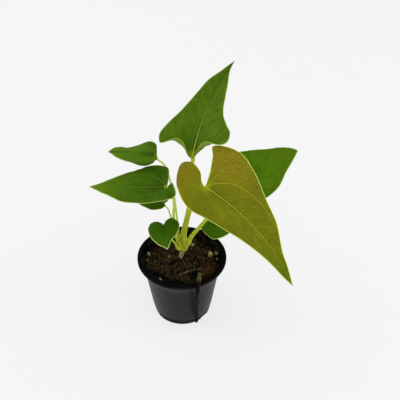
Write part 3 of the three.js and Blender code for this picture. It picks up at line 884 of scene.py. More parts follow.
# Mask of the painted shade: along the front wall, in the hollow beside the root and round the wall
def makeShadeGroup():
    tree, given, leave = newGroup("painted soil shade", "ShaderNodeTree", {"Place": "Vector"}, {"Mask": "Float"})
    spot = given["Place"]
    parts = splitPlace(tree, spot)
    clouds = addNoise(tree, spot, 260.0, 4.0)
    ragged = times(tree, addMath(tree, "SUBTRACT", clouds, 0.5), 0.008)
    slanted = plus(tree, parts["Y"], times(tree, parts["X"], 0.5))
    front = ramp(tree, plus(tree, slanted, ragged), -0.0184, -0.0156, 1.0, 0.0)
    hollow = distanceTo(tree, spot, (0.0092, -0.0122, 0.041))
    near = ramp(tree, plus(tree, hollow, ragged), 0.0035, 0.006, 0.95, 0.0)
    wall = ramp(tree, plus(tree, axisDistance(tree, parts), ragged), 0.0225, 0.0255, 0.0, 0.75)
    setInputs(tree, leave, {"Mask": larger(tree, larger(tree, front, near), wall)})
    return tree


strewTree = makeStrewTree()
shadeGroup = makeShadeGroup()
dampBark = {"Specular IOR Level": 0.25, "IOR": 1.4}


def soilFinish():
    v = soilValues
    material, tree, shader, spot = newMaterial("damp bark and peat", dampBark)
    base = addMottle(tree, spot, patches=380, fineness=8, low=0.46, high=0.62, first=v["dark"],
                     second=v["brown"])
    reds = addMottle(tree, spot, patches=110, fineness=5, low=0.56, high=0.7)["Mask"]
    greens = addMottle(tree, spot, patches=75, fineness=6, low=0.52, high=0.7)["Mask"]
    redPatch = ramp(tree, distanceTo(tree, spot, (0.0196, -0.0066, 0.0415)), 0.002, 0.009, 0.8, 0.0)
    redMask = plus(tree, times(tree, reds, 0.55), redPatch, clamp=True)
    shade = placeGroup(tree, shadeGroup, {"Place": spot})["Mask"]
    colour = mixColours(tree, redMask, base["Colour"], v["red"])
    colour = mixColours(tree, times(tree, greens, 0.6), colour, v["green"])
    # painted shade: the soil goes towards black where the shade mask is
    colour = mixColours(tree, times(tree, shade, 0.9), colour, v["black"])
    grain = addGrain(tree, spot, grains=1500, middle=0.8, spread=0.35)
    dress(tree, shader, colour, grain["Roughness"], grain["Height"], 0.8, 0.0004)
    return material


# Colour of loose bits: each bit has its own tone, with streaks
def bitFinish(name):
    dark, pale, roughness = bitTones[name]
    material, tree, shader, spot = newMaterial(name, dampBark)
    streaks = addMottle(tree, spot, patches=900, fineness=5, low=0.3, high=0.75)["Mask"]
    tone = times(tree, attribute(tree, "tone"), ramp(tree, streaks, 0.0, 1.0, 0.45, 1.0))
    shade = placeGroup(tree, shadeGroup, {"Place": spot})["Mask"]
    colour = mixColours(tree, tone, dark, pale)
    # painted shade, as on the soil
    colour = mixColours(tree, times(tree, shade, 0.85), colour, soilValues["black"])
    grain = addGrain(tree, spot, grains=2500, middle=roughness, spread=0.3)
    dress(tree, shader, colour, grain["Roughness"], grain["Height"], 0.6, 0.0003)
    return material


def perliteFinish():
    material, tree, shader, spot = newMaterial("perlite with algae", {"Specular IOR Level": 0.2})
    stains = addMottle(tree, spot, patches=500, fineness=5, low=0.3, high=0.72, first=paint(142, 138, 70),
                       second=paint(216, 212, 160))
    pits = addCells(tree, spot, cells=1400, width=0.16)
    colour = mixColours(tree, attribute(tree, "tone"), paint(52, 48, 26), stains["Colour"])
    colour = mixColours(tree, times(tree, pits["Line"], 0.45), colour, paint(70, 66, 34))
    dress(tree, shader, colour, ramp(tree, stains["Mask"], 0.0, 1.0, 0.75, 0.95), pits["Height"], 0.5, 0.0003)
    return material


def perlitePiece():
    points = []
    faces = []
    tones = []
    for i, (x, y, size, tone) in enumerate(perliteLumps):
        faces += [[len(points) + index for index in face] for face in ballFaces]
        centre = Vector((x, y, soilHeight(x, y) + 0.3 * size))
        for point in ballPoints:
            direction = point.normalized()
            bumpy = 1 + 0.2 * noise.noise(direction * 1.5 + Vector((i * 7, 3, 1)))
            bumpy += 0.1 * noise.noise(direction * 4.5 + Vector((i * 3, 9, 2)))
            stretched = Vector((direction.x * 0.85, direction.y * 0.85, direction.z * 1.1)) * bumpy * size / 2
            points.append((centre + Matrix.Rotation(x, 3, "Z") @ stretched) * mm)
            tones.append(tone)
    mesh = newMesh("perlite", points, faces)
    setValues(mesh, "tone", tones)
    smoothFaces(mesh)
    setFinish(mesh, perliteFinish())
    return newObject("perlite", mesh)


# One pale root fibre, and thin ones that wander over the soil
def fibrePiece():
    v = fibreValues
    rng = random.Random(5)
    main = evenRoute([(x, y, soilHeight(x, y) + 0.5) for x, y in v["main"]], 40)
    paths = [[(point * mm, v["mainRadius"] * mm * (1 - 0.4 * i / 40), 1.0) for i, point in enumerate(main)]]
    for i in range(v["count"]):
        angle = rng.uniform(0, 2 * math.pi)
        radius = v["spread"] * math.sqrt(rng.random())
        x = radius * math.cos(angle)
        y = radius * math.sin(angle)
        heading = rng.uniform(0, 2 * math.pi)
        tone = rng.uniform(*v["tones"])
        thickness = rng.uniform(*v["radii"])
        route = []
        while len(route) < 6 and math.hypot(x, y) <= v["reach"]:
            route.append((x, y, soilHeight(x, y) + 0.35 + rng.uniform(-0.3, 0.45)))
            heading += rng.uniform(-0.7, 0.7)
            x += v["step"] * math.cos(heading)
            y += v["step"] * math.sin(heading)
        if len(route) > 2:
            paths.append([(point * mm, thickness * mm, tone) for point in evenRoute(route, 16)])
    piece = newObject("fibres", pathMesh("fibres", paths, ("tone",)))
    return runTree(piece, tubeTree, {"Sides": 6, "Bark relief": 0.0001, "Finish": bitFinish("pale fibre")})


def makeSoil():
    v = soilValues
    bed = soilBed()
    cutOut(bed, [holeCutter("stem hole", stemRoute, v["stemHole"], 1.0),
                 holeCutter("root hole", rootRoute, v["rootHole"], 0.3)])
    setFinish(bed.data, soilFinish())
    smoothFaces(bed.data)
    finishes = {name: bitFinish(name) for name in bitTones if name != "pale fibre"}
    pieces = [bed]
    for name, bits in strewnBits.items():
        share = v["quickShare"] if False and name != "grit" else 1.0
        density = bits["Pieces per square metre"] * share
        values = {**bits, "Pieces per square metre": density, "Finish": finishes[bits["finish"]]}
        pieces.append(runTree(newObject(name, bed.data.copy()), strewTree, values))
    soil = joinPieces(pieces + [perlitePiece(), fibrePiece()])
    soil.name = "potting_soil"
    ready(soil, "soil")


makeSoil()


# Leaves

# Values of every leaf that gives none of its own
leafDefaults = {
    "swayPower": 1, "fan": 4, "lobe": 6, "lobeEase": 1.0,
    "midribWidth": 0.42, "midrib": 0.6, "midribEnd": 0.2,
    "veinTone": 0.4, "veinLean": 1.0, "sideStrength": (1.0, 1.0),
    "ribShade": 0.0, "bands": 0.3, "streakTone": 0.3, "netTone": 0.1, "marginWidth": 0.6,
    "roughness": 0.42, "relief": 0.2, "under": paint(104, 132, 48), "kind": "green",
}

# base is where the petiole meets the blade. heading is the midrib's direction seen from above, rise
# its slope, roll the blade's turn about it. arch and sway bend it. fold and cup lift the halves. right and
# left run from tip to sinus: across, along, lift, curl, width of the curled margin.
leaves = {
    "top": {
        "base": (7, 15, 120), "heading": 69, "rise": 50, "roll": 2, "length": 68.5, "width": 44,
        "arch": 5, "sway": 26, "swayPower": 1.5, "fold": 0.25, "cup": 0, "lobe": 7, "spokes": (9, 5),
        "right": [(1.5, 61.5), (5.5, 53), (9, 43), (11.5, 34.5), (16.5, 27.5), (21, 22.5), (21, 15.5),
                  (14.5, 9.5, 0, 75, 6), (11.5, 4.5, 0, 118, 8.5), (6, 4, 0, 110, 5.5)],
        "left": [(3.5, 57.5), (7, 49.5), (9.5, 40), (13.5, 28.5), (19, 18.5), (23, 10.5), (22, 5),
                 (18.5, 3.5, 0, 105, 8.5), (12, 0.5, 0, 125, 9.5), (6, 0.5, 0, 115, 6)],
        "lobeRib": [(13, 17), (13, 10.5)], "lobeEase": 0.45,
        "route": [(0.5, 7, 59.5), (1.8, 8.5, 67.5), (4.1, 11, 77.5), (6.2, 13.5, 94.5), (7, 15.5, 109)],
        "thickness": (1.5, 1.2),
        "deep": paint(60, 98, 0), "light": paint(86, 124, 4), "junction": paint(150, 168, 18),
        "tip": paint(70, 94, 0), "vein": paint(182, 202, 72), "margin": paint(172, 196, 66),
        "under": paint(140, 166, 62), "valley": paint(38, 66, 0),
        "midrib": 0.95, "midribEnd": -0.6, "veinTone": 0.3, "sideVeins": 7, "sideTone": 0.35,
        "halfWidths": (21, 23),
        "bands": 0.5, "gloss": 0.13, "streaks": 34.0, "streakTone": 0.28, "ribShade": 0.45,
        "junctionShare": 0.1,
        "marginTone": (0.65, 0.45, -99), "midribWidth": 0.6,
    },
    "bronze": {
        "base": (15.5, -10, 116.5), "heading": -19, "rise": -26, "roll": 35, "length": 88, "width": 50,
        "arch": 22, "sway": 30, "fold": 0.1, "cup": -0.25, "lobe": 7, "spokes": (10, 6),
        "right": [(3.5, 78.5), (6, 67), (10.5, 46.5), (14, 29), (16.5, 11), (17, -2.5), (9, -15.5),
                  (-3.5, -20.5), (-9, -15.5), (-7, -8), (-2, -4)],
        "left": [(3, 73), (5.5, 62.5), (13.5, 47), (18.5, 34), (28.5, 17.5), (32.5, 7), (30, -3),
                 (25.5, -9), (20, -6), (9.5, -2.5), (2, -0.5)],
        "lobeRib": [(5, -8.5), (16.5, -1.5)],
        "route": [(1.9, 4.2, 62), (3.6, 4, 73), (6, 3, 86), (9.6, -1, 100)],
        "thickness": (1.55, 1.15),
        "deep": paint(96, 103, 0), "light": paint(120, 124, 0), "junction": paint(138, 146, 12),
        "tip": paint(76, 100, 0), "vein": paint(180, 190, 46), "margin": paint(220, 236, 104),
        "under": paint(120, 116, 40), "valley": paint(78, 82, 0),
        "midrib": 1.0, "midribEnd": 0.4, "veinTone": 1.0, "sideVeins": 8, "sideTone": 0.25,
        "halfWidths": (17, 25), "bands": 0.25, "gloss": 0.11, "streaks": 40.0, "streakTone": 0.34,
        "junctionShare": 0.06,
        "marginTone": (0.9, 1.0, -13), "sideStrength": (0.3, 1.0),
        "blush": paint(128, 108, 0), "gold": paint(166, 148, 40),
        "kind": "bronze", "netTone": 0.2, "marginWidth": 0.8, "roughness": 0.5, "relief": 0.3,
    },
    "right": {
        "base": (34, 26, 87.5), "heading": 23, "rise": 20, "roll": 26, "length": 51, "width": 38,
        "arch": 10, "sway": 0, "fold": 0.2, "cup": -0.2, "spokes": (8, 4),
        "right": [(4.5, 44.5), (10, 35.5), (16.5, 26), (19, 14.5), (18, 2.5), (12.5, -7.5), (5, -5.5)],
        "left": [(3, 49), (7.5, 42), (11.5, 32), (16, 23), (19.5, 10.5), (14, -6.5), (5.5, -5.5)],
        "lobeRib": [(7, -4), (7.5, -3.5)],
        "route": [(4.2, 6.2, 54), (6.6, 7.5, 59), (10.9, 9.5, 64), (15.8, 12, 69.5), (25, 18, 79.5)],
        "thickness": (1.5, 0.8),
        "deep": paint(62, 100, 0), "light": paint(90, 130, 0), "junction": paint(98, 128, 8),
        "tip": paint(82, 114, 4), "vein": paint(112, 144, 36), "margin": paint(178, 202, 74),
        "under": paint(108, 138, 46), "valley": paint(50, 84, 0),
        "midrib": 0.8, "midribEnd": 0.3, "veinTone": 0.55, "sideVeins": 6, "sideTone": 0.5,
        "halfWidths": (19, 19),
        "bands": 0.4, "gloss": 0.09, "streaks": 30.0, "streakTone": 0.32, "junctionShare": 0.08,
        "marginTone": (0.6, 0.6, -99),
    },
    "small": {
        "base": (16.5, 17, 63.5), "heading": -14, "rise": -17, "roll": 17, "length": 18.5, "width": 19,
        "arch": 8, "sway": -8, "fold": 0.1, "cup": -0.1, "fan": 3, "spokes": (6, 4),
        "right": [(4.5, 15.5), (8, 12), (10.5, 8), (9.5, 3.5), (7, -1), (4, -3), (1.5, -2)],
        "left": [(3, 16.5), (6.5, 12.5), (8.5, 8), (8.5, 3.5), (7, -1), (4, -3), (1.5, -2)],
        "lobeRib": [(2.5, -1.2), (2.5, -1.2)],
        "route": [(3.4, 10, 53), (8, 14.5, 55), (12.5, 17, 58.5)],
        "thickness": (0.6, 0.5),
        "deep": paint(60, 100, 0), "light": paint(76, 116, 0), "junction": paint(92, 124, 8),
        "tip": paint(74, 110, 2), "vein": paint(92, 128, 20), "margin": paint(196, 214, 120),
        "under": paint(100, 130, 42), "valley": paint(50, 86, 0),
        "sideVeins": 4, "sideTone": 0.4, "halfWidths": (10, 8.5),
        "gloss": 0.1, "streaks": 24.0, "streakTone": 0.25, "junctionShare": 0.08,
        "marginTone": (0.9, 0.3, 2),
    },
    "mid_left": {
        "base": (-9.5, 5, 104), "heading": -174, "rise": 4, "roll": -14, "length": 49.5, "width": 30,
        "arch": 6, "sway": 9, "swayPower": 1.5, "fold": 0.3, "cup": -0.2, "spokes": (8, 4),
        "right": [(3, 42), (6, 35.5), (10, 26.5), (13, 18), (16.5, 9), (15, -1.5), (6.5, -2)],

               "left": [(3.5, 44), (7, 38), (12, 29.5), (13.5, 22.5), (13.5, 11), (10.5, -4.5, 2),
                 (-0.5, -4, 3)],
        "lobeRib": [(8, -0.8), (6, -2.4)],
        "route": [(-2.9, 4.6, 58.5), (-4.3, 5, 69), (-5.3, 6, 77.5), (-5.2, 7.5, 92.5)],
        "thickness": (1.15, 1.0),
        "deep": paint(44, 82, 0), "light": paint(74, 114, 0), "junction": paint(160, 184, 30),
        "tip": paint(104, 142, 6), "vein": paint(124, 152, 52), "margin": paint(200, 216, 120),
        "valley": paint(26, 54, 0),
        "midrib": 1.0, "midribEnd": 0.7, "veinTone": 0.6, "sideVeins": 6, "sideTone": 0.35,
        "halfWidths": (16, 13.5),
        "bands": 0.35, "gloss": 0.15, "streaks": 44.0, "streakTone": 0.32, "ribShade": 0.2,
        "junctionShare": 0.045,
        "marginTone": (0.5, 0.9, -99), "veinLean": 1.9,
    },
    "upper_left": {
        "base": (-16, 20, 118), "heading": -178, "rise": 14, "roll": -21, "length": 31.5, "width": 18,
        "arch": 22, "sway": 0, "fold": 0.5, "cup": -0.45, "spokes": (7, 5),

               "right": [(3, 28, -1), (5, 23.5, -3), (5.5, 19, -4.5), (7, 12, -2.5), (9.5, 5.5), (8, 1),
                  (3.5, 0)],
        "left": [(1.5, 29), (4, 26.5), (6.5, 22), (8, 16.5), (9, 9, 0, -90, 5), (7.5, 2, 0, -130, 5.5),
                 (3, -1, 0, -60, 2)],
        "lobeRib": [(4.5, 0.6), (4, 1)],

               "route": [(-1.4, 7.6, 57.5), (-3, 9.3, 72.2), (-4.5, 12.8, 87.3), (-7.2, 17, 98.9),
                  (-10.3, 20.9, 108.3)],
        "thickness": (0.65, 0.55),
        "deep": paint(56, 92, 0), "light": paint(98, 140, 6), "junction": paint(120, 146, 26),
        "tip": paint(92, 124, 8), "vein": paint(104, 134, 34), "margin": paint(170, 194, 80),
        "valley": paint(30, 58, 0),
        "sideVeins": 5, "sideTone": 0.35, "halfWidths": (9, 9),
        "gloss": 0.19, "streaks": 36.0, "ribShade": 0.3, "junctionShare": 0.07,
        "marginTone": (0.4, 0.6, -99), "veinLean": 1.7,
    },
    "lower_left": {
        "base": (-11.5, 10, 86.5), "heading": 164, "rise": 4, "roll": -17, "length": 19.5, "width": 13,
        "arch": 18, "sway": -10, "fold": 0.1, "cup": -0.3, "spokes": (6, 4),
        "right": [(2, 18), (4, 15.5), (6, 12), (7, 7.5), (7, 3), (4.5, -1.5), (2, -2)],
        "left": [(2, 17.5), (4, 15), (5.5, 11), (6.5, 7.5), (6, 3.5), (4.5, 0), (2, -1.5)],
        "lobeRib": [(2.5, -0.8), (2.5, -0.2)],
        "route": [(-2.8, 8.2, 57), (-4.1, 9.2, 61.5), (-7.1, 11, 73), (-9.3, 11, 81)],
        "thickness": (0.5, 0.45),
        "deep": paint(60, 94, 0), "light": paint(76, 112, 4), "junction": paint(108, 138, 20),
        "tip": paint(76, 112, 4), "vein": paint(96, 128, 26), "margin": paint(172, 198, 80),
        "valley": paint(46, 78, 0),
        "sideVeins": 4, "sideTone": 0.3, "halfWidths": (7, 6.5),
        "gloss": 0.12, "streaks": 26.0, "junctionShare": 0.07,
        "marginTone": (0.4, 0.6, -99), "veinLean": 1.5,
    },
    "heart": {
        "base": (-11.5, -5, 80), "heading": -88, "rise": -1, "roll": 9, "length": 18.5, "width": 20,
        "arch": 34, "sway": -9, "fold": 0.1, "cup": -0.3, "fan": 3, "spokes": (6, 5),
        "right": [(2, 16.5), (5.5, 13.5), (9, 7.5), (10.5, 1), (9, -4.5), (5, -5), (1.5, -2.5)],
        "left": [(2, 16.5), (4, 13), (7.5, 9.5), (10, 3), (9.5, -3), (5.5, -6.5), (2, -4.5)],
        "lobeRib": [(2.8, -2.6), (3, -3.2)],
        "route": [(-2.6, 1.5, 53), (-4.1, -0.5, 59.5), (-6.3, -1.5, 64), (-8.8, -2.5, 72)],
        "thickness": (0.85, 0.6),
        "deep": paint(52, 92, 0), "light": paint(70, 112, 0), "junction": paint(92, 124, 6),
        "tip": paint(74, 106, 2), "vein": paint(82, 118, 12), "margin": paint(200, 218, 124),
        "under": paint(100, 130, 42), "valley": paint(46, 80, 0),
        "midrib": 0.7, "sideVeins": 4, "sideTone": 0.35, "halfWidths": (10.5, 10),
        "bands": 0.25, "gloss": 0.07, "streaks": 22.0, "junctionShare": 0.05,
        "marginTone": (0.9, 0.9, 3),
    },
}

leaves = {name: {**leafDefaults, **leaf} for name, leaf in leaves.items()}

bladeValues = {
    "thickness": 0.6,
    "edgeThickness": 0.34,
    "edgeRounding": 0.3,
    "bodyReach": 4,
    "easeReach": 3,
    "fullSpan": 8,
    "ribDepth": 0.5,
    "ribReach": 0.2,
    "midribSteps": 120,
    "sweep": 0.9,
    "foldFade": 0.55,
    "curlArc": 0.6,
    "edgeStrip": 0.9,
    "edgeRows": (0.62, 0.34, 0.14, 0.04, 0.0),
    "rowWidth": 0.75,
    "attachInset": 1.2,
    "solidThickness": 0.7,
    "gap": 0.3,
    "quilting": 0.16,
    "quiltReach": 1.3,
    "bandReach": 1.5,
    "crisping": 0.3,
    "crispReach": 2.6,
    "scallops": 0.012,
    "veinGroove": 0.1,
    "grooveReach": 0.6,
    "wave": 0.14,
    "underVeins": 1.35,
    "underTone": 0.8,
    "sink": 0.6,
}

# Course of the forward vein of each half, in shares of the half's width and the leaf's length
forwardVein = [(0, 0), (0.15, 0.03), (0.33, 0.095), (0.45, 0.15), (0.52, 0.22), (0.55, 0.31), (0.52, 0.43),
               (0.42, 0.57), (0.3, 0.7), (0.15, 0.84)]
lobeVein = [(0, 0), (0.22, 0.02), (0.45, 0.03), (0.76, 0.06), (1.02, 0.13)]


# Smooth step from the second to the third of four rows of values
def cubicRow(four, part):
    result = []
    for a, b, c, d in zip(*four):
        first = 0.5 * (c - a)
        second = 0.5 * (d - b)
        result.append((2 * b - 2 * c + first + second) * part ** 3
                      + (-3 * b + 3 * c - 2 * first - second) * part ** 2 + first * part + b)
    return result


# Margin spline in the flat blade, place from 0 to 1
def flatPoint(rows, place):
    last = len(rows) - 1
    index = min(int(last * place), last)
    four = [rows[min(max(k, 0), last)] for k in range(index - 1, index + 3)]
    return cubicRow(four, last * place - index)


# Lift, curl and width of the curled margin, place from 0 to 1
def formPoint(rows, place):
    last = len(rows) - 1
    index = min(int(last * place), last - 1)
    before = rows[index - 1] if index > 0 else [2 * a - b for a, b in zip(rows[0], rows[1])]
    after = rows[index + 2] if index + 2 <= last else [2 * a - b for a, b in zip(rows[last], rows[last - 1])]
    return cubicRow([before, rows[index], rows[index + 1], after], last * place - index)


def marginRows(leaf, side):
    points = leaf["right"] if side > 0 else leaf["left"]
    rows = [(*row, 0, 0, 0)[:5] for row in [(0, leaf["length"]), *points, (0, -0.6)]]
    return [(side * row[0], row[1]) for row in rows], [row[2:] for row in rows]


# How far up the midrib the spokes start, from tip to base
def spokeStarts(leaf, sides):
    last = len(sides[0][0]) - 1
    count = leaf["spokes"][0]
    starts = []
    reach = leaf["length"]
    for i in range(count + 1):
        ends = [flatPoint(flat, leaf["fan"] / last * i / count) for flat, _ in sides]
        mean = sum(end[1] - bladeValues["sweep"] * abs(end[0]) for end in ends) / 2
        reach = 0.0 if i == count else max(0.0, min(reach, mean))
        starts.append(reach)
    return starts


# Spokes of one half, from the veins' skeleton to the margin: place on the margin, and root
def halfSpokes(leaf, index, starts, last, finer):
    fanSpokes, lobeSpokes = leaf["spokes"]
    ribX, ribY = leaf["lobeRib"][index]
    ribX *= (1, -1)[index]
    spokes = []
    for i in range(fanSpokes * finer + 1):
        spot = i / finer
        low = min(int(spot), fanSpokes - 1)
        y = starts[low] + (starts[low + 1] - starts[low]) * (spot - low)
        spokes.append((leaf["fan"] / last * spot / fanSpokes, (0.0, y)))
    for start, end, back in ((leaf["fan"], leaf["lobe"], False), (leaf["lobe"], last, True)):
        for i in range(1, lobeSpokes * finer + 1):
            part = i / (lobeSpokes * finer)
            along = math.sin((1 - part if back else min(1.0, part / leaf["lobeEase"])) * math.pi / 2)
            spokes.append(((start + (end - start) * part) / last, (ribX * along, ribY * along)))
    return spokes


def midribTable(leaf):
    steps = bladeValues["midribSteps"]
    table = [Vector()]
    for i in range(steps):
        table.append(table[-1] + midribStep(leaf, (i + 0.5) / steps) * leaf["length"] / steps)
    return table


def midribStep(leaf, share):
    down = math.radians(leaf["arch"] * share)
    aside = math.radians(leaf["sway"] * share ** leaf["swayPower"])
    return Vector((math.sin(aside) * math.cos(down), math.cos(aside) * math.cos(down), -math.sin(down)))


# Places the blade in the frame: x across, y along the midrib, z out of its upper side
def bladeFrame(leaf):
    heading = math.radians(leaf["heading"])
    rise = math.radians(leaf["rise"])
    roll = math.radians(leaf["roll"])
    along = Vector((math.cos(rise) * math.cos(heading), math.cos(rise) * math.sin(heading), math.sin(rise)))
    level = Vector((math.sin(heading), -math.cos(heading), 0))
    upright = level.cross(along)
    across = level * math.cos(roll) - upright * math.sin(roll)
    out = upright * math.cos(roll) + level * math.sin(roll)
    turn = Matrix((across, along, out)).transposed().to_4x4()
    return Matrix.Translation(Vector(leaf["base"])) @ turn


# Takes a point of the flat blade, with its height over the blade, to its place on the bent blade
def bendPoint(leaf, table, x, y, z):
    if y <= 0:
        return Vector((x, y, z))
    steps = bladeValues["midribSteps"]
    share = y / leaf["length"]
    index = min(int(min(share, 1.0) * steps), steps - 1)
    centre = table[index].lerp(table[index + 1], share * steps - index)
    aside = math.radians(leaf["sway"] * share ** leaf["swayPower"])
    across = Vector((math.cos(aside), -math.sin(aside), 0))
    return centre + across * x + across.cross(midribStep(leaf, share)) * z


# Rolls up the end of a spoke: its new reach, and its height over the blade
def curlPoint(distance, length, curl, width):
    start = length - width
    if abs(curl) < 1e-3 or width < 0.05 or distance <= start:
        return distance, 0.0
    arc = bladeValues["curlArc"] * width
    radius = arc / curl
    turned = min(distance - start, arc) / radius
    straight = max(0.0, distance - start - arc)
    reach = start + radius * math.sin(turned) + straight * math.cos(turned)
    return reach, radius * (1 - math.cos(turned)) + straight * math.sin(turned)


# Even shares along a spoke, closer together at the margin
def spokeShares(length, inner):
    edge = min(0.25, bladeValues["edgeStrip"] / max(length, 0.01))
    shares = [(1 - edge) * i / inner for i in range(inner + 1)]
    return shares + [1 - edge * part for part in bladeValues["edgeRows"]]


# End of a spoke on the margin, with its scallop
def spokeEnd(leaf, sideIndex, flatRows, spot, root):
    end = flatPoint(flatRows, spot)
    ripple = noise.noise(Vector((spot * 16, sideIndex * 5, leaf["heading"])))
    scallop = 1 + bladeValues["scallops"] * ripple * math.sin(math.pi * spot)
    return [root[0] + (end[0] - root[0]) * scallop, root[1] + (end[1] - root[1]) * scallop]


# Height of the blade over its flat, from fold and cup
def bladeHeight(leaf, x, y):
    half = leaf["width"] / 2
    # the fold fades behind the base
    soft = 1 + bladeValues["foldFade"] * max(0.0, -y)
    spread = (math.hypot(x, soft) - 1) / half
    return half * (leaf["fold"] * spread + leaf["cup"] * spread * spread)


# The blade's middle surface: for each point its place, flat place, share along its spoke and spoke's length
def bladeGrid(leaf, finer, inner):
    sides = [marginRows(leaf, side) for side in (1, -1)]
    starts = spokeStarts(leaf, sides)
    table = midribTable(leaf)
    place = bladeFrame(leaf)
    grid = {"points": [], "flats": [], "shares": [], "spans": [], "faces": []}
    known = {}
    for sideIndex, (flatRows, formRows) in enumerate(sides):
        rows = []
        for spot, root in halfSpokes(leaf, sideIndex, starts, len(flatRows) - 1, finer):
            end = spokeEnd(leaf, sideIndex, flatRows, spot, root)
            lift, curl, width = formPoint(formRows, spot)
            spanX = end[0] - root[0]
            spanY = end[1] - root[1]
            length = math.hypot(spanX, spanY)
            row = []
            for share in spokeShares(length, inner):
                x = root[0] + spanX * share
                y = root[1] + spanY * share
                key = (round(x * 2000), round(y * 2000))
                if key not in known:
                    reach, curled = curlPoint(share * length, length, math.radians(curl), width)
                    ratio = reach / length if length > 1e-6 else share
                    spotX = root[0] + spanX * ratio
                    spotY = root[1] + spanY * ratio
                    height = bladeHeight(leaf, spotX, spotY) + (lift * share * share + curled)
                    known[key] = len(grid["points"])
                    grid["points"].append(place @ bendPoint(leaf, table, spotX, spotY, height))
                    grid["flats"].append((x, y))
                    grid["shares"].append(share)
                    grid["spans"].append(length)
                row.append(known[key])
            rows.append(row)
        grid["faces"] += rowFaces(rows, sideIndex == 1)
    grid["normals"] = surfaceNormals(grid["points"], grid["faces"])
    grid["edges"] = [(1 - share) * span for share, span in zip(grid["shares"], grid["spans"])]
    return grid


# Faces between rows of points, turned over on the left half
def rowFaces(rows, turned):
    faces = []
    for lower, upper in zip(rows, rows[1:]):
        for r in range(len(lower) - 1):
            ring = [lower[r], upper[r], upper[r + 1], lower[r + 1]]
            if turned:
                ring.reverse()
            face = cleanFace(ring)
            if len(face) > 2:
                faces.append(face)
    return faces


def surfaceNormals(points, faces):
    normals = [Vector() for _ in points]
    for face in faces:
        corners = [points[index] for index in face]
        total = Vector()
        for i in range(1, len(corners) - 1):
            total += (corners[i] - corners[0]).cross(corners[i + 1] - corners[0])
        for index in face:
            normals[index] += total
    return [normal.normalized() for normal in normals]


# Finds places of the flat blade on its grid
def makeBladeMap(grid):
    spots = [Vector((x, y, 0)) for x, y in grid["flats"]]
    return spots, grid["faces"], BVHTree.FromPolygons(spots, grid["faces"])


# Grid points with their shares, and the distance from the blade
def findPlace(bladeMap, x, y):
    spots, faces, tree = bladeMap
    spot, _, index, distance = tree.find_nearest(Vector((x, y, 0)))
    weights = poly_3d_calc([spots[i] for i in faces[index]], spot)
    return list(zip(faces[index], weights)), distance


def blendValues(parts, values):
    total = values[parts[0][0]] * parts[0][1]
    for index, weight in parts[1:]:
        total = total + values[index] * weight
    return total


# Veins in the flat blade: points, thickness at foot and end, strength at foot and end, count of samples
def veinLines(leaf):
    long = leaf["length"]
    rib = [(0, y * long) for y in (0, 0.25, 0.5, 0.75, 0.97)]
    lines = [(rib, leaf["midribWidth"], 0.12, 1.0, leaf["midribEnd"], 60)]
    for index, side in enumerate((1, -1)):
        wide = leaf["halfWidths"][index] * side
        tone = leaf["sideStrength"][index]
        ribX, ribY = leaf["lobeRib"][index]
        forward = [(x * wide, y * long) for x, y in forwardVein]
        lobe = [(x * wide, y * long) for x, y in lobeVein]
        back = [(share * side * ribX, share * ribY) for share in (0, 0.5, 1, 1.9)]
        lines.append((forward, 0.28, 0.08, 0.75 * tone, 0.25 * tone, 40))
        lines.append((lobe, 0.26, 0.08, 0.7 * tone, 0.25 * tone, 26))
        lines.append((back, 0.26, 0.08, 0.6 * tone, 0.2 * tone, 22))
        reach = abs(wide) * 1.25
        for i in range(leaf["sideVeins"]):
            foot = long * (0.1 + 0.8 * (i + 0.45 * index) / leaf["sideVeins"])
            line = []
            for part in [step / 8 for step in range(9)]:
                rise = leaf["veinLean"] * reach * (0.85 * part + 0.75 * part * part)
                line.append((side * reach * part, foot + rise))
            lines.append((line, 0.16, 0.07, leaf["sideTone"], leaf["sideTone"] * 0.5, 30))
    return lines


# Veins as runs of (place on the grid, flat place, thickness, strength), cut short at the margin
def veinRuns(leaf, bladeMap, edges):
    runs = []
    for points, thick, thin, strong, weak, count in veinLines(leaf):
        run = []
        for i, spot in enumerate(evenRoute([(x, y, 0) for x, y in points], count)):
            parts, distance = findPlace(bladeMap, spot.x, spot.y)
            if distance > 0.05 or sum(edges[index] * weight for index, weight in parts) < 0.9:
                if len(run) > 3:
                    break
                continue
            share = i / (count - 1)
            shown = max(0.0, strong + (weak - strong) * share)
            run.append((parts, (spot.x, spot.y), thick + (thin - thick) * share, shown))
        if len(run) > 3:
            runs.append(run)
    return runs


# Brown lobes with golden specks, for the young leaf
def addBlush(tree, leaf, flat, side, colour):
    leftLobe = times(tree, ramp(tree, side["X"], -0.016, -0.001, 1.0, 0.0),
                     ramp(tree, side["Y"], 0.004, 0.034, 1.0, 0.0))
    lobes = larger(tree, leftLobe, ramp(tree, side["Y"], -0.017, -0.003, 0.9, 0.0))
    colour = mixColours(tree, times(tree, lobes, 0.8), colour, leaf["blush"])
    specks = addFan(tree, flat, behind=0.002, streaks=26, breaks=420)
    gold = times(tree, specks, ramp(tree, lobes, 0.0, 1.0, 0.1, 0.4))
    return mixColours(tree, gold, colour, leaf["gold"])


# Shade beside the foot of the midrib, and along its end
def ribValley(tree, leaf, side):
    beside = attribute(tree, "beside")
    along = attribute(tree, "along")
    foot = times(tree, ramp(tree, beside, 0.2, 2.4, 0.75, 0.0), ramp(tree, along, 0.0, 0.62, 1.0, 0.0))
    foot = times(tree, foot, ramp(tree, side["Y"], -0.003, 0.001))
    end = times(tree, ramp(tree, beside, 0.1, 1.1, leaf["ribShade"], 0.0), ramp(tree, along, 0.4, 0.6))
    return larger(tree, foot, end)


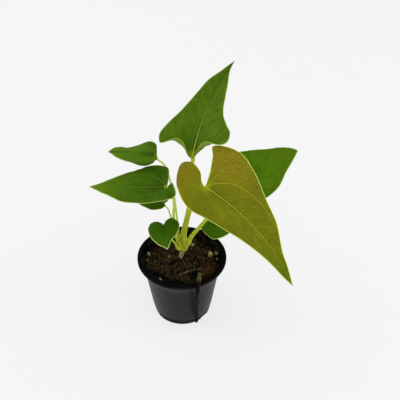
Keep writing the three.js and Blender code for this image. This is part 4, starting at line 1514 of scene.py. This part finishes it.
# Pale line along the margin, with its own strength on the right and left
def marginLine(tree, leaf, side):
    right, left, start = leaf["marginTone"]
    isLeft = ramp(tree, side["X"], -0.0004, 0.0004, 1.0, 0.0)
    strength = times(tree, ramp(tree, isLeft, 0.0, 1.0, right, left),
                     ramp(tree, side["Y"], (start - 3) * mm, start * mm))
    return times(tree, ramp(tree, attribute(tree, "edge"), 0.25, leaf["marginWidth"], 1.0, 0.0), strength)


def leafFinish(name, leaf):
    constants = {"IOR": 1.4, "Specular IOR Level": leaf["gloss"]}
    material, tree, shader, spot = newMaterial("leaf " + name, constants)
    flat = attribute(tree, "flat", "Vector")
    vein = attribute(tree, "vein")
    side = splitPlace(tree, flat)
    # deep and light patches, paler bands over the side veins, the tip's own tone
    tone = addMottle(tree, flat, patches=55, fineness=4, low=0.3, high=0.7, first=leaf["deep"],
                     second=leaf["light"])
    bands = times(tree, attribute(tree, "band"), leaf["bands"])
    colour = mixColours(tree, bands, tone["Colour"], leaf["light"])
    colour = mixColours(tree, ramp(tree, attribute(tree, "along"), 0.45, 1.0, 0.0, 0.85), colour, leaf["tip"])
    if leaf["kind"] == "bronze":
        colour = addBlush(tree, leaf, flat, side, colour)
    # fine streaks and grain
    fan = addFan(tree, flat, behind=leaf["length"] * 0.12 * mm, streaks=leaf["streaks"], breaks=55)
    gaps = times(tree, addMath(tree, "SUBTRACT", 1.0, fan), leaf["streakTone"])
    fine = addMottle(tree, flat, patches=650, fineness=3, low=0.42, high=0.62)["Mask"]
    colour = mixColours(tree, gaps, colour, leaf["valley"])
    colour = mixColours(tree, times(tree, fine, 0.16), colour, leaf["tip"])
    # midrib valley, junction tint, net of cells and veins
    colour = mixColours(tree, ribValley(tree, leaf, side), colour, leaf["valley"])
    reach = leaf["length"] * leaf["junctionShare"]
    junction = ramp(tree, attribute(tree, "away"), 0.5, reach, 0.9, 0.0)
    colour = mixColours(tree, junction, colour, leaf["junction"])
    net = addCells(tree, flat, cells=950, width=0.12)
    colour = mixColours(tree, times(tree, net["Line"], leaf["netTone"]), colour, leaf["vein"])
    colour = mixColours(tree, vein, colour, leaf["vein"])
    # underside and margin
    below = mixColours(tree, times(tree, fan, 0.25), leaf["under"], leaf["light"])
    below = mixColours(tree, times(tree, vein, 0.7), below, leaf["vein"])
    colour = mixColours(tree, attribute(tree, "upper"), below, colour)
    colour = mixColours(tree, marginLine(tree, leaf, side), colour, leaf["margin"])
    grain = addGrain(tree, spot, grains=1800, middle=leaf["roughness"], spread=0.16)
    height = plus(tree, net["Height"], times(tree, grain["Height"], 0.5))
    height = plus(tree, height, times(tree, fan, 0.8))
    dress(tree, shader, colour, grain["Roughness"], height, leaf["relief"], 0.00025)
    return material


# Keeps the blade's faces and turns its loose edges into raised veins
def makeVeinTree():
    tree, given, leave = newShapeTree("raised veins", {"Vein sides": 6, "Finish": "Material"})
    parts = addNode(tree, "GeometryNodeSeparateGeometry", {
        0: given["Geometry"], 1: isOver(tree, storedValue(tree, "path"), 0.5),
    }).outputs
    tube = addTube(tree, parts[0], circleProfile(tree, given["Vein sides"]))
    joined = addNode(tree, "GeometryNodeJoinGeometry", {0: tube})
    setInputs(tree, joined, {0: parts[1]})
    endTree(tree, leave, smoothed(tree, joined.outputs[0]), given["Finish"])
    return tree


veinTree = makeVeinTree()


# Distance in the flat blade from every point to the nearest vein
def veinDistance(flats, runs):
    spots = np.array(flats)
    best = np.full(len(flats), 99.0)
    for run in runs:
        line = [np.array(flat) for _, flat, _, _ in run]
        for a, b in zip(line, line[1:]):
            span = b - a
            size = max(float(span @ span), 1e-9)
            part = np.clip(((spots - a) @ span) / size, 0, 1)
            gap = np.linalg.norm(spots - a - part[:, None] * span, axis=1)
            best = np.minimum(best, gap)
    return best


# The blade's two skins, with quilting between the veins, a groove at the midrib and a rippled margin
def bladeSkins(leaf, grid, runs, veinGaps, size):
    v = bladeValues
    ribGaps = veinDistance(grid["flats"], runs[:1])
    upper = []
    lower = []
    for i, point in enumerate(grid["points"]):
        edge = grid["edges"][i]
        normal = grid["normals"][i]
        narrow = min(1.0, grid["spans"][i] / v["fullSpan"])
        rounding = min(edge / v["edgeRounding"], 1.0)
        body = v["edgeThickness"] + (v["thickness"] - v["edgeThickness"]) * min(edge / v["bodyReach"], 1)
        half = body / 2 * math.sqrt(max(0.0, 1 - (1 - rounding) ** 2))
        rib = v["ribDepth"] * max(0.0, 1 - grid["shares"][i] / v["ribReach"]) * narrow
        inside = min(edge / v["easeReach"], 1.0)
        quilt = v["quilting"] * (1 - math.exp(-(veinGaps[i] / v["quiltReach"]) ** 2)) * inside * size
        groove = v["veinGroove"] * math.exp(-(ribGaps[i] / v["grooveReach"]) ** 2) * inside
        place = Vector((grid["flats"][i][0] * 0.16, grid["flats"][i][1] * 0.16, leaf["heading"]))
        ripple = v["wave"] * noise.noise(place) * inside
        atMargin = math.exp(-(edge / v["crispReach"]) ** 2) * narrow
        ripple += v["crisping"] * noise.noise(place * 1.9) * atMargin
        shift = normal * (quilt + ripple - groove)
        upper.append((point + normal * half + shift) * mm)
        lower.append((point - normal * (half + rib) + shift) * mm)
    return upper, lower


# What the finish and the vein tree read at one point of the blade
def bladeMarks(leaf, flat, edge, vein, upper, band, thickness=0.0, depth=0.0):
    x, y = flat
    return {
        "edge": edge, "vein": vein, "upper": upper, "band": band, "along": max(0.0, y) / leaf["length"],
        "away": math.hypot(x, y), "beside": abs(x), "path": 1.0 if thickness else 0.0,
        "thickness": thickness, "flat": (x * mm, y * mm, depth),
    }


# Points and faces of both skins, which share the points of the margin
def closeSkins(leaf, grid, upper, lower, veinGaps):
    count = len(upper)
    edges = grid["edges"]
    own = [i for i in range(count) if edges[i] >= 1e-4]
    under = list(range(count))
    for k, i in enumerate(own):
        under[i] = count + k
    faces = list(grid["faces"])
    for face in grid["faces"]:
        turned = [under[index] for index in reversed(face)]
        if set(turned) != set(face):
            faces.append(turned)
    marks = []
    for k, i in enumerate([*range(count), *own]):
        band = math.exp(-(veinGaps[i] / bladeValues["bandReach"]) ** 2)
        top = k < count
        marks.append(bladeMarks(leaf, grid["flats"][i], edges[i], 0.0, 1.0 if top else 0.0, band,
                                depth=0.0 if top else 0.05))
    return upper + [lower[i] for i in own], faces, marks


# Adds the veins of one skin as loose edges, which the vein tree thickens
def addVeins(leaf, grid, runs, skin, top, size, points, edges, marks):
    v = bladeValues
    for order, run in enumerate(runs):
        for k, (parts, flat, thick, strength) in enumerate(run):
            thick *= size * (1.0 if top else v["underVeins"])
            normal = blendValues(parts, grid["normals"]).normalized()
            if k:
                edges.append((len(points) - 1, len(points)))
            sink = -v["sink"] if top else v["sink"]
            points.append(blendValues(parts, skin) + normal * sink * thick * mm)
            tone = leaf["midrib"] if order == 0 else leaf["veinTone"]
            shown = strength * tone if top else v["underTone"]
            marks.append(bladeMarks(leaf, flat, 5.0, shown, 1.0 if top else 0.0, 1.0, thick * mm))


# Lays the flat blade out as the mesh's map
def addMap(mesh, flats):
    layer = mesh.uv_layers.new(name="UVMap")
    spots = np.array([(x * 5 + 0.5, y * 5 + 0.2) for x, y, _ in flats], dtype=np.float32)
    corners = np.zeros(len(mesh.loops), dtype=np.int32)
    mesh.loops.foreach_get("vertex_index", corners)
    layer.data.foreach_set("uv", spots[corners].ravel())


def makeBlade(name, leaf):
    finer = 6 if leaf["length"] > 40 else 4
    inner = max(8, int(leaf["width"] / 2 / bladeValues["rowWidth"]))
    size = min(1.0, leaf["length"] / 55)
    grid = bladeGrid(leaf, finer, inner)
    runs = veinRuns(leaf, makeBladeMap(grid), grid["edges"])
    veinGaps = veinDistance(grid["flats"], runs)
    upper, lower = bladeSkins(leaf, grid, runs, veinGaps, size)
    points, faces, marks = closeSkins(leaf, grid, upper, lower, veinGaps)
    edges = []
    for skin, top in ((upper, True), (lower, False)):
        addVeins(leaf, grid, runs, skin, top, size, points, edges, marks)
    mesh = newMesh("blade " + name, points, faces, edges)
    flats = [mark.pop("flat") for mark in marks]
    for label in marks[0]:
        setValues(mesh, label, [mark[label] for mark in marks])
    setValues(mesh, "flat", flats, "FLOAT_VECTOR")
    addMap(mesh, flats)
    blade = newObject("leaf_blade_" + name, mesh)
    runTree(blade, veinTree, {"Finish": leafFinish(name, leaf)})
    ready(blade, "blade_" + name)


for leafName, leafValues in leaves.items():
    makeBlade(leafName, leafValues)


# Petioles and crown

stalkValues = {
    "crown": (1.2, 5.2, 50),
    "knobRadius": 2.7,
    "knobTaper": 0.3,
    "knobHeight": 1.1,
    "stemRadius": 1.6,
    "stemTaper": 0.15,
    "stemRings": 0.12,
    "stemStart": 0.3 / 21,
    "sheathLength": 13.5,
    "sheathSwell": 1.35,
    "overlap": 0.4,
    "kneePlace": 0.97,
    "groove": 0.22,
    "sides": 20,
    "blendSize": 0.24,
    "green": paint(180, 196, 14),
    "pale": paint(226, 238, 84),
    "olive": paint(170, 162, 18),
    # colour of the painted shade in the crown's creases
    "creaseShade": paint(96, 104, 0),
    "stem": paint(206, 198, 130),
    "stemDark": paint(146, 130, 74),
}

# Loose pointed sheaths: route and radius
sheaths = [
    ([(-0.6, 4.2, 49.5), (-1.6, 4.2, 57), (-1.5, 4.3, 64.5)], 1.4),
    ([(2.4, 4, 50), (3.7, 3.4, 56), (4.6, 3.3, 60.5)], 1.3),
]

# Tones of each petiole: foot, top, edge. The edge tone is the pale tone of its streaks and of the painted
# light on its rims
stalkTones = {
    # the top leaf's petiole is lighter at its top end, painted light where its blade shades it
    "top": (paint(176, 190, 18), paint(200, 218, 36), paint(222, 236, 92)),
    "bronze": (paint(184, 190, 16), paint(170, 168, 14), paint(212, 224, 70)),
    "right": (paint(182, 204, 22), paint(192, 214, 60), paint(220, 234, 96)),
    "small": (paint(172, 194, 26), paint(176, 198, 40), paint(210, 224, 90)),
    "mid_left": (paint(200, 222, 50), paint(224, 240, 104), paint(234, 244, 140)),
    "upper_left": (paint(200, 222, 56), paint(216, 234, 96), paint(232, 242, 128)),
    "lower_left": (paint(180, 202, 44), paint(200, 218, 80), paint(220, 232, 112)),
    "heart": (paint(174, 196, 26), paint(168, 196, 34), paint(212, 226, 92)),
}


# From the crown to just under the blade's midrib, where the solid keeps its gap
def petioleRoute(leaf):
    v = bladeValues
    place = bladeFrame(leaf)
    out = place.to_3x3().col[2].normalized()
    seat = place @ Vector((0, v["attachInset"], 0))
    along = (seat - Vector(leaf["route"][-1])).normalized()
    lean = math.sqrt(max(0.0, 1 - along.dot(out) ** 2))
    depth = v["solidThickness"] / 2 + v["ribDepth"] + v["gap"] + 1.15 * leaf["thickness"][1] * lean
    return [Vector(stalkValues["crown"]), *[Vector(point) for point in leaf["route"]], seat - out * depth]


def petioleRadius(leaf, share):
    foot, top = leaf["thickness"]
    knee = 0.15 * top * math.exp(-(((share - stalkValues["kneePlace"]) / 0.03) ** 2))
    return foot + (top - foot) * share + knee


# Length of a petiole, and the share of it that its sheath takes
def petioleSheath(route):
    length = measureRoute(route)[1][-1]
    return length, min(stalkValues["sheathLength"], 0.6 * length) / length


def stalkFinish(name, foot, top, edge):
    material, tree, shader, spot = newMaterial(name, {"IOR": 1.4, "Specular IOR Level": 0.22})
    drawn = drawnOut(tree, spot, 0.12)
    streaks = addMottle(tree, drawn, patches=900, fineness=4, low=0.3, high=0.75)["Mask"]
    colour = mixColours(tree, ramp(tree, attribute(tree, "along"), 0.0, 1.0), foot, top)
    colour = mixColours(tree, times(tree, streaks, 0.35), colour, edge)
    # painted light: where the surface turns away from the camera the petiole is lightened towards its edge
    # tone, as if lit through
    rim = addNode(tree, "ShaderNodeLayerWeight", {"Blend": 0.35}).outputs["Facing"]
    colour = mixColours(tree, ramp(tree, rim, 0.35, 0.95, 0.0, 0.6), colour, edge)
    grain = addGrain(tree, spot, grains=2200, middle=0.42, spread=0.14)
    dress(tree, shader, colour, grain["Roughness"], plus(tree, streaks, grain["Height"]), 0.15, 0.0002)
    return material


def makePetiole(name, leaf):
    v = stalkValues
    route = petioleRoute(leaf)
    length, sheath = petioleSheath(route)
    start = sheath - v["overlap"] / length
    count = 90
    path = []
    for i, point in enumerate(evenRoute(route, count, start, 1.0)):
        share = start + (1 - start) * i / (count - 1)
        path.append((point * mm, petioleRadius(leaf, share) * mm, share))
    stalk = newObject("petiole_of_" + name + "_leaf", pathMesh("petiole " + name, [path], ("along",)))
    runTree(stalk, tubeTree, {
        "Sides": v["sides"], "Groove depth": v["groove"], "Bark relief": 0.00003,
        "Bark grains per metre": 500.0, "Finish": stalkFinish("petiole " + name, *stalkTones[name]),
    })
    ready(stalk, "petiole_" + name)


for leafName, leafValues in leaves.items():
    makePetiole(leafName, leafValues)


# Tan bark below, yellow green sheaths with olive patches and painted crease shade above
def crownFinish():
    v = stalkValues
    material, tree, shader, spot = newMaterial("crown", {"IOR": 1.4, "Specular IOR Level": 0.35})
    drawn = drawnOut(tree, spot, 0.15)
    streaks = addMottle(tree, drawn, patches=800, fineness=5, low=0.3, high=0.72)["Mask"]
    olive = addMottle(tree, spot, patches=220, fineness=4, low=0.45, high=0.7)["Mask"]
    # painted shade: drawn-out patches darkened towards the crease tone, standing in for shade between the
    # sheaths
    creaseShadeMask = addMottle(tree, drawnOut(tree, spot, 0.2), patches=420, fineness=2, low=0.52, high=0.66)["Mask"]
    green = mixColours(tree, streaks, v["green"], v["pale"])
    green = mixColours(tree, times(tree, olive, 0.6), green, v["olive"])
    green = mixColours(tree, times(tree, creaseShadeMask, 0.25), green, v["creaseShade"])
    bark = mixColours(tree, streaks, v["stemDark"], v["stem"])
    wavy = plus(tree, splitPlace(tree, spot)["Z"], times(tree, olive, 0.0012))
    colour = mixColours(tree, ramp(tree, wavy, 0.0482, 0.0496), bark, green)
    grain = addGrain(tree, spot, grains=1800, middle=0.5, spread=0.2)
    dress(tree, shader, colour, grain["Roughness"], plus(tree, streaks, grain["Height"]), 0.35, 0.0003)
    return material


# Stem, sheathing feet of the petioles and loose sheaths, as paths of (place, thickness)
def crownPaths():
    v = stalkValues
    stem = []
    for i, point in enumerate(evenRoute(stemRoute, 30, v["stemStart"], 1.0)):
        ring = v["stemRings"] * max(0.0, math.sin(point.z * 2.4)) ** 3
        taper = 1 - v["stemTaper"] + v["stemTaper"] * i / 29
        stem.append((point * mm, (v["stemRadius"] * taper + ring) * mm))
    paths = [stem]
    for leaf in leaves.values():
        route = petioleRoute(leaf)
        sheath = petioleSheath(route)[1]
        path = []
        for i, point in enumerate(evenRoute(route, 26, 0.0, sheath)):
            swell = 1 + (v["sheathSwell"] - 1) * (1 - i / 25)
            path.append((point * mm, petioleRadius(leaf, sheath * i / 25) * swell * mm))
        paths.append(path)
    for route, radius in sheaths:
        path = []
        for i, point in enumerate(evenRoute(route, 20)):
            path.append((point * mm, radius * (1 - 0.8 * (i / 19) ** 1.5) * mm))
        paths.append(path)
    return paths


# The knob that the petioles grow from, narrower towards the stem
def makeKnob():
    v = stalkValues
    points = []
    for point in ballPoints:
        slim = 1 - v["knobTaper"] * max(0.0, -point.z)
        knob = Vector((point.x * slim, point.y * slim, point.z * v["knobHeight"]))
        points.append(Vector(v["crown"]) * mm + knob * v["knobRadius"] * mm)
    return newObject("knob", newMesh("knob", points, ballFaces))


def makeCrown():
    tubes = newObject("crown_of_the_plant", pathMesh("crown", crownPaths()))
    runTree(tubes, tubeTree, {"Sides": 20})
    crown = joinPieces([tubes, makeKnob()])
    blend = crown.modifiers.new("grown together", "REMESH")
    blend.mode = "VOXEL"
    blend.voxel_size = stalkValues["blendSize"] * mm
    soften = crown.modifiers.new("soften", "SMOOTH")
    soften.factor = 0.5
    soften.iterations = 4
    settle(crown)
    setFinish(crown.data, crownFinish())
    smoothFaces(crown.data)
    ready(crown, "crown_stem")


makeCrown()


# Loose root over the rim

rootValues = {
    "radii": (1.5, 1.35),
    "start": 0.3 / 60,
    "steps": 130,
    "sides": 18,
    "dark": paint(14, 6, 4),
    "brown": paint(50, 30, 20),
    "tan": paint(88, 80, 36),
    "hairs": 16,
    "hairLength": (1.5, 3.2),
    "hairPoints": 7,
}


def rootFinish():
    v = rootValues
    material, tree, shader, spot = newMaterial("dry root", {"IOR": 1.4, "Specular IOR Level": 0.15})
    bark = addMottle(tree, spot, patches=420, fineness=6, low=0.48, high=0.72, first=v["dark"],
                     second=v["brown"])["Colour"]
    greys = addMottle(tree, spot, patches=260, fineness=5, low=0.55, high=0.75)["Mask"]
    tan = mixColours(tree, greys, v["tan"], v["brown"])
    colour = mixColours(tree, ramp(tree, attribute(tree, "along"), 0.3, 0.36), tan, bark)
    grain = addGrain(tree, spot, grains=1400, middle=0.72, spread=0.3)
    dress(tree, shader, colour, grain["Roughness"], grain["Height"], 0.6, 0.0003)
    return material


# Knobbed and tapered, with a rounded end
def rootPath(points):
    thick, thin = rootValues["radii"]
    path = []
    for i, point in enumerate(points):
        share = i / (len(points) - 1)
        radius = thick + (thin - thick) * share
        knots = 0.09 * math.sin(share * 47) + 0.07 * math.sin(share * 113 + 1)
        close = min(1.0, (1 - share) / 0.03)
        path.append((point * mm, radius * (0.98 + knots) * (0.35 + 0.65 * math.sqrt(close)) * mm, share))
    return path


# Short hairs on the outer part of the root, bent down a little
def hairPaths(points):
    v = rootValues
    rng = random.Random(12)
    last = v["hairPoints"] - 1
    paths = []
    for _ in range(v["hairs"]):
        index = rng.randrange(int(len(points) * 0.3), len(points) - 8)
        outward = Vector((rng.uniform(-1, 1), rng.uniform(-1.2, 0.1), rng.uniform(-0.6, 0.2))).normalized()
        reach = rng.uniform(*v["hairLength"])
        hair = []
        for k in range(v["hairPoints"]):
            bend = Vector((0, 0, -0.22 * k * k / 12))
            spot = points[index] + outward * (0.6 + reach * k / last) + bend
            hair.append((spot * mm, (0.13 - 0.014 * k) * mm, index / len(points)))
        paths.append(hair)
    return paths


def makeRoot():
    v = rootValues
    points = evenRoute(rootRoute, v["steps"], v["start"], 1.0)
    paths = [rootPath(points), *hairPaths(points)]
    root = newObject("loose_root_over_rim", pathMesh("loose root", paths, ("along",)))
    runTree(root, tubeTree, {
        "Sides": v["sides"], "Bark relief": 0.00028, "Bark grains per metre": 700.0, "Finish": rootFinish(),
    })
    ready(root, "loose_root")


makeRoot()


# Floor, light and camera, in metres

stageValues = {
    "floorSize": 4.0,
    "floorColour": paint(116, 116, 116),
    "floorEnd": paint(113, 113, 113),
    "floorGlow": 0.745,
    "worldStrength": 0.62,
    "lens": 90,
    "cameraPlace": (0.0122, -0.4896, 0.5126),
    "cameraTilt": 49.7,
}

# Lights: place, point they face, size, power, seen in shiny surfaces
lights = {
    "window left": ((-0.9, 0.35, 0.9), (0, 0, 0.08), (1.4, 1.4), 5.9, True),
    "window right": ((1.0, -0.1, 0.5), (0, 0, 0.05), (0.5, 0.9), 3.2, True),
    "soft top": ((0.1, -0.5, 1.5), (0, 0, 0.08), (1.2, 1.2), 4.6, False),
}


def makeFloor():
    v = stageValues
    material, tree, shader, spot = newMaterial("pale floor", {
        "Roughness": 0.9, "Specular IOR Level": 0.0, "Emission Strength": v["floorGlow"],
        "Emission Color": white,
    })
    clouds = addMottle(tree, spot, patches=1.4, fineness=1, low=0.2, high=0.8, first=v["floorColour"],
                       second=v["floorEnd"])
    setInputs(tree, shader, {"Base Color": clouds["Colour"]})
    size = v["floorSize"]
    corners = [(-size, -size, 0), (size, -size, 0), (size, size, 0), (-size, size, 0)]
    floor = newObject("pale_floor", newMesh("floor", corners, [(0, 1, 2, 3)]))
    setFinish(floor.data, material)


def makeWorld():
    world = bpy.data.worlds.new("soft room")
    bpy.context.scene.world = world
    world.use_nodes = True
    background = world.node_tree.nodes["Background"]
    setInputs(world.node_tree, background, {"Color": white, "Strength": stageValues["worldStrength"]})
    world.cycles_visibility.glossy = False


def addLight(name, place, aim, size, power, shiny):
    light = bpy.data.lights.new(name, "AREA")
    light.shape = "RECTANGLE"
    light.size, light.size_y = size
    light.energy = power
    lamp = newObject(name, light)
    lamp.location = place
    lamp.rotation_euler = (Vector(aim) - Vector(place)).to_track_quat("-Z", "Y").to_euler()
    lamp.visible_glossy = shiny


def makeCamera():
    v = stageValues
    camera = bpy.data.cameras.new("camera")
    camera.lens = v["lens"]
    camera.sensor_width = 36
    camera.clip_start = 0.01
    holder = newObject("camera", camera)
    holder.location = v["cameraPlace"]
    holder.rotation_euler = (math.radians(v["cameraTilt"]), 0, 0)
    bpy.context.scene.camera = holder
    bpy.context.scene.view_settings.view_transform = "Standard"


makeFloor()
makeWorld()
for lightName, lightSettings in lights.items():
    addLight(lightName, *lightSettings)
makeCamera()
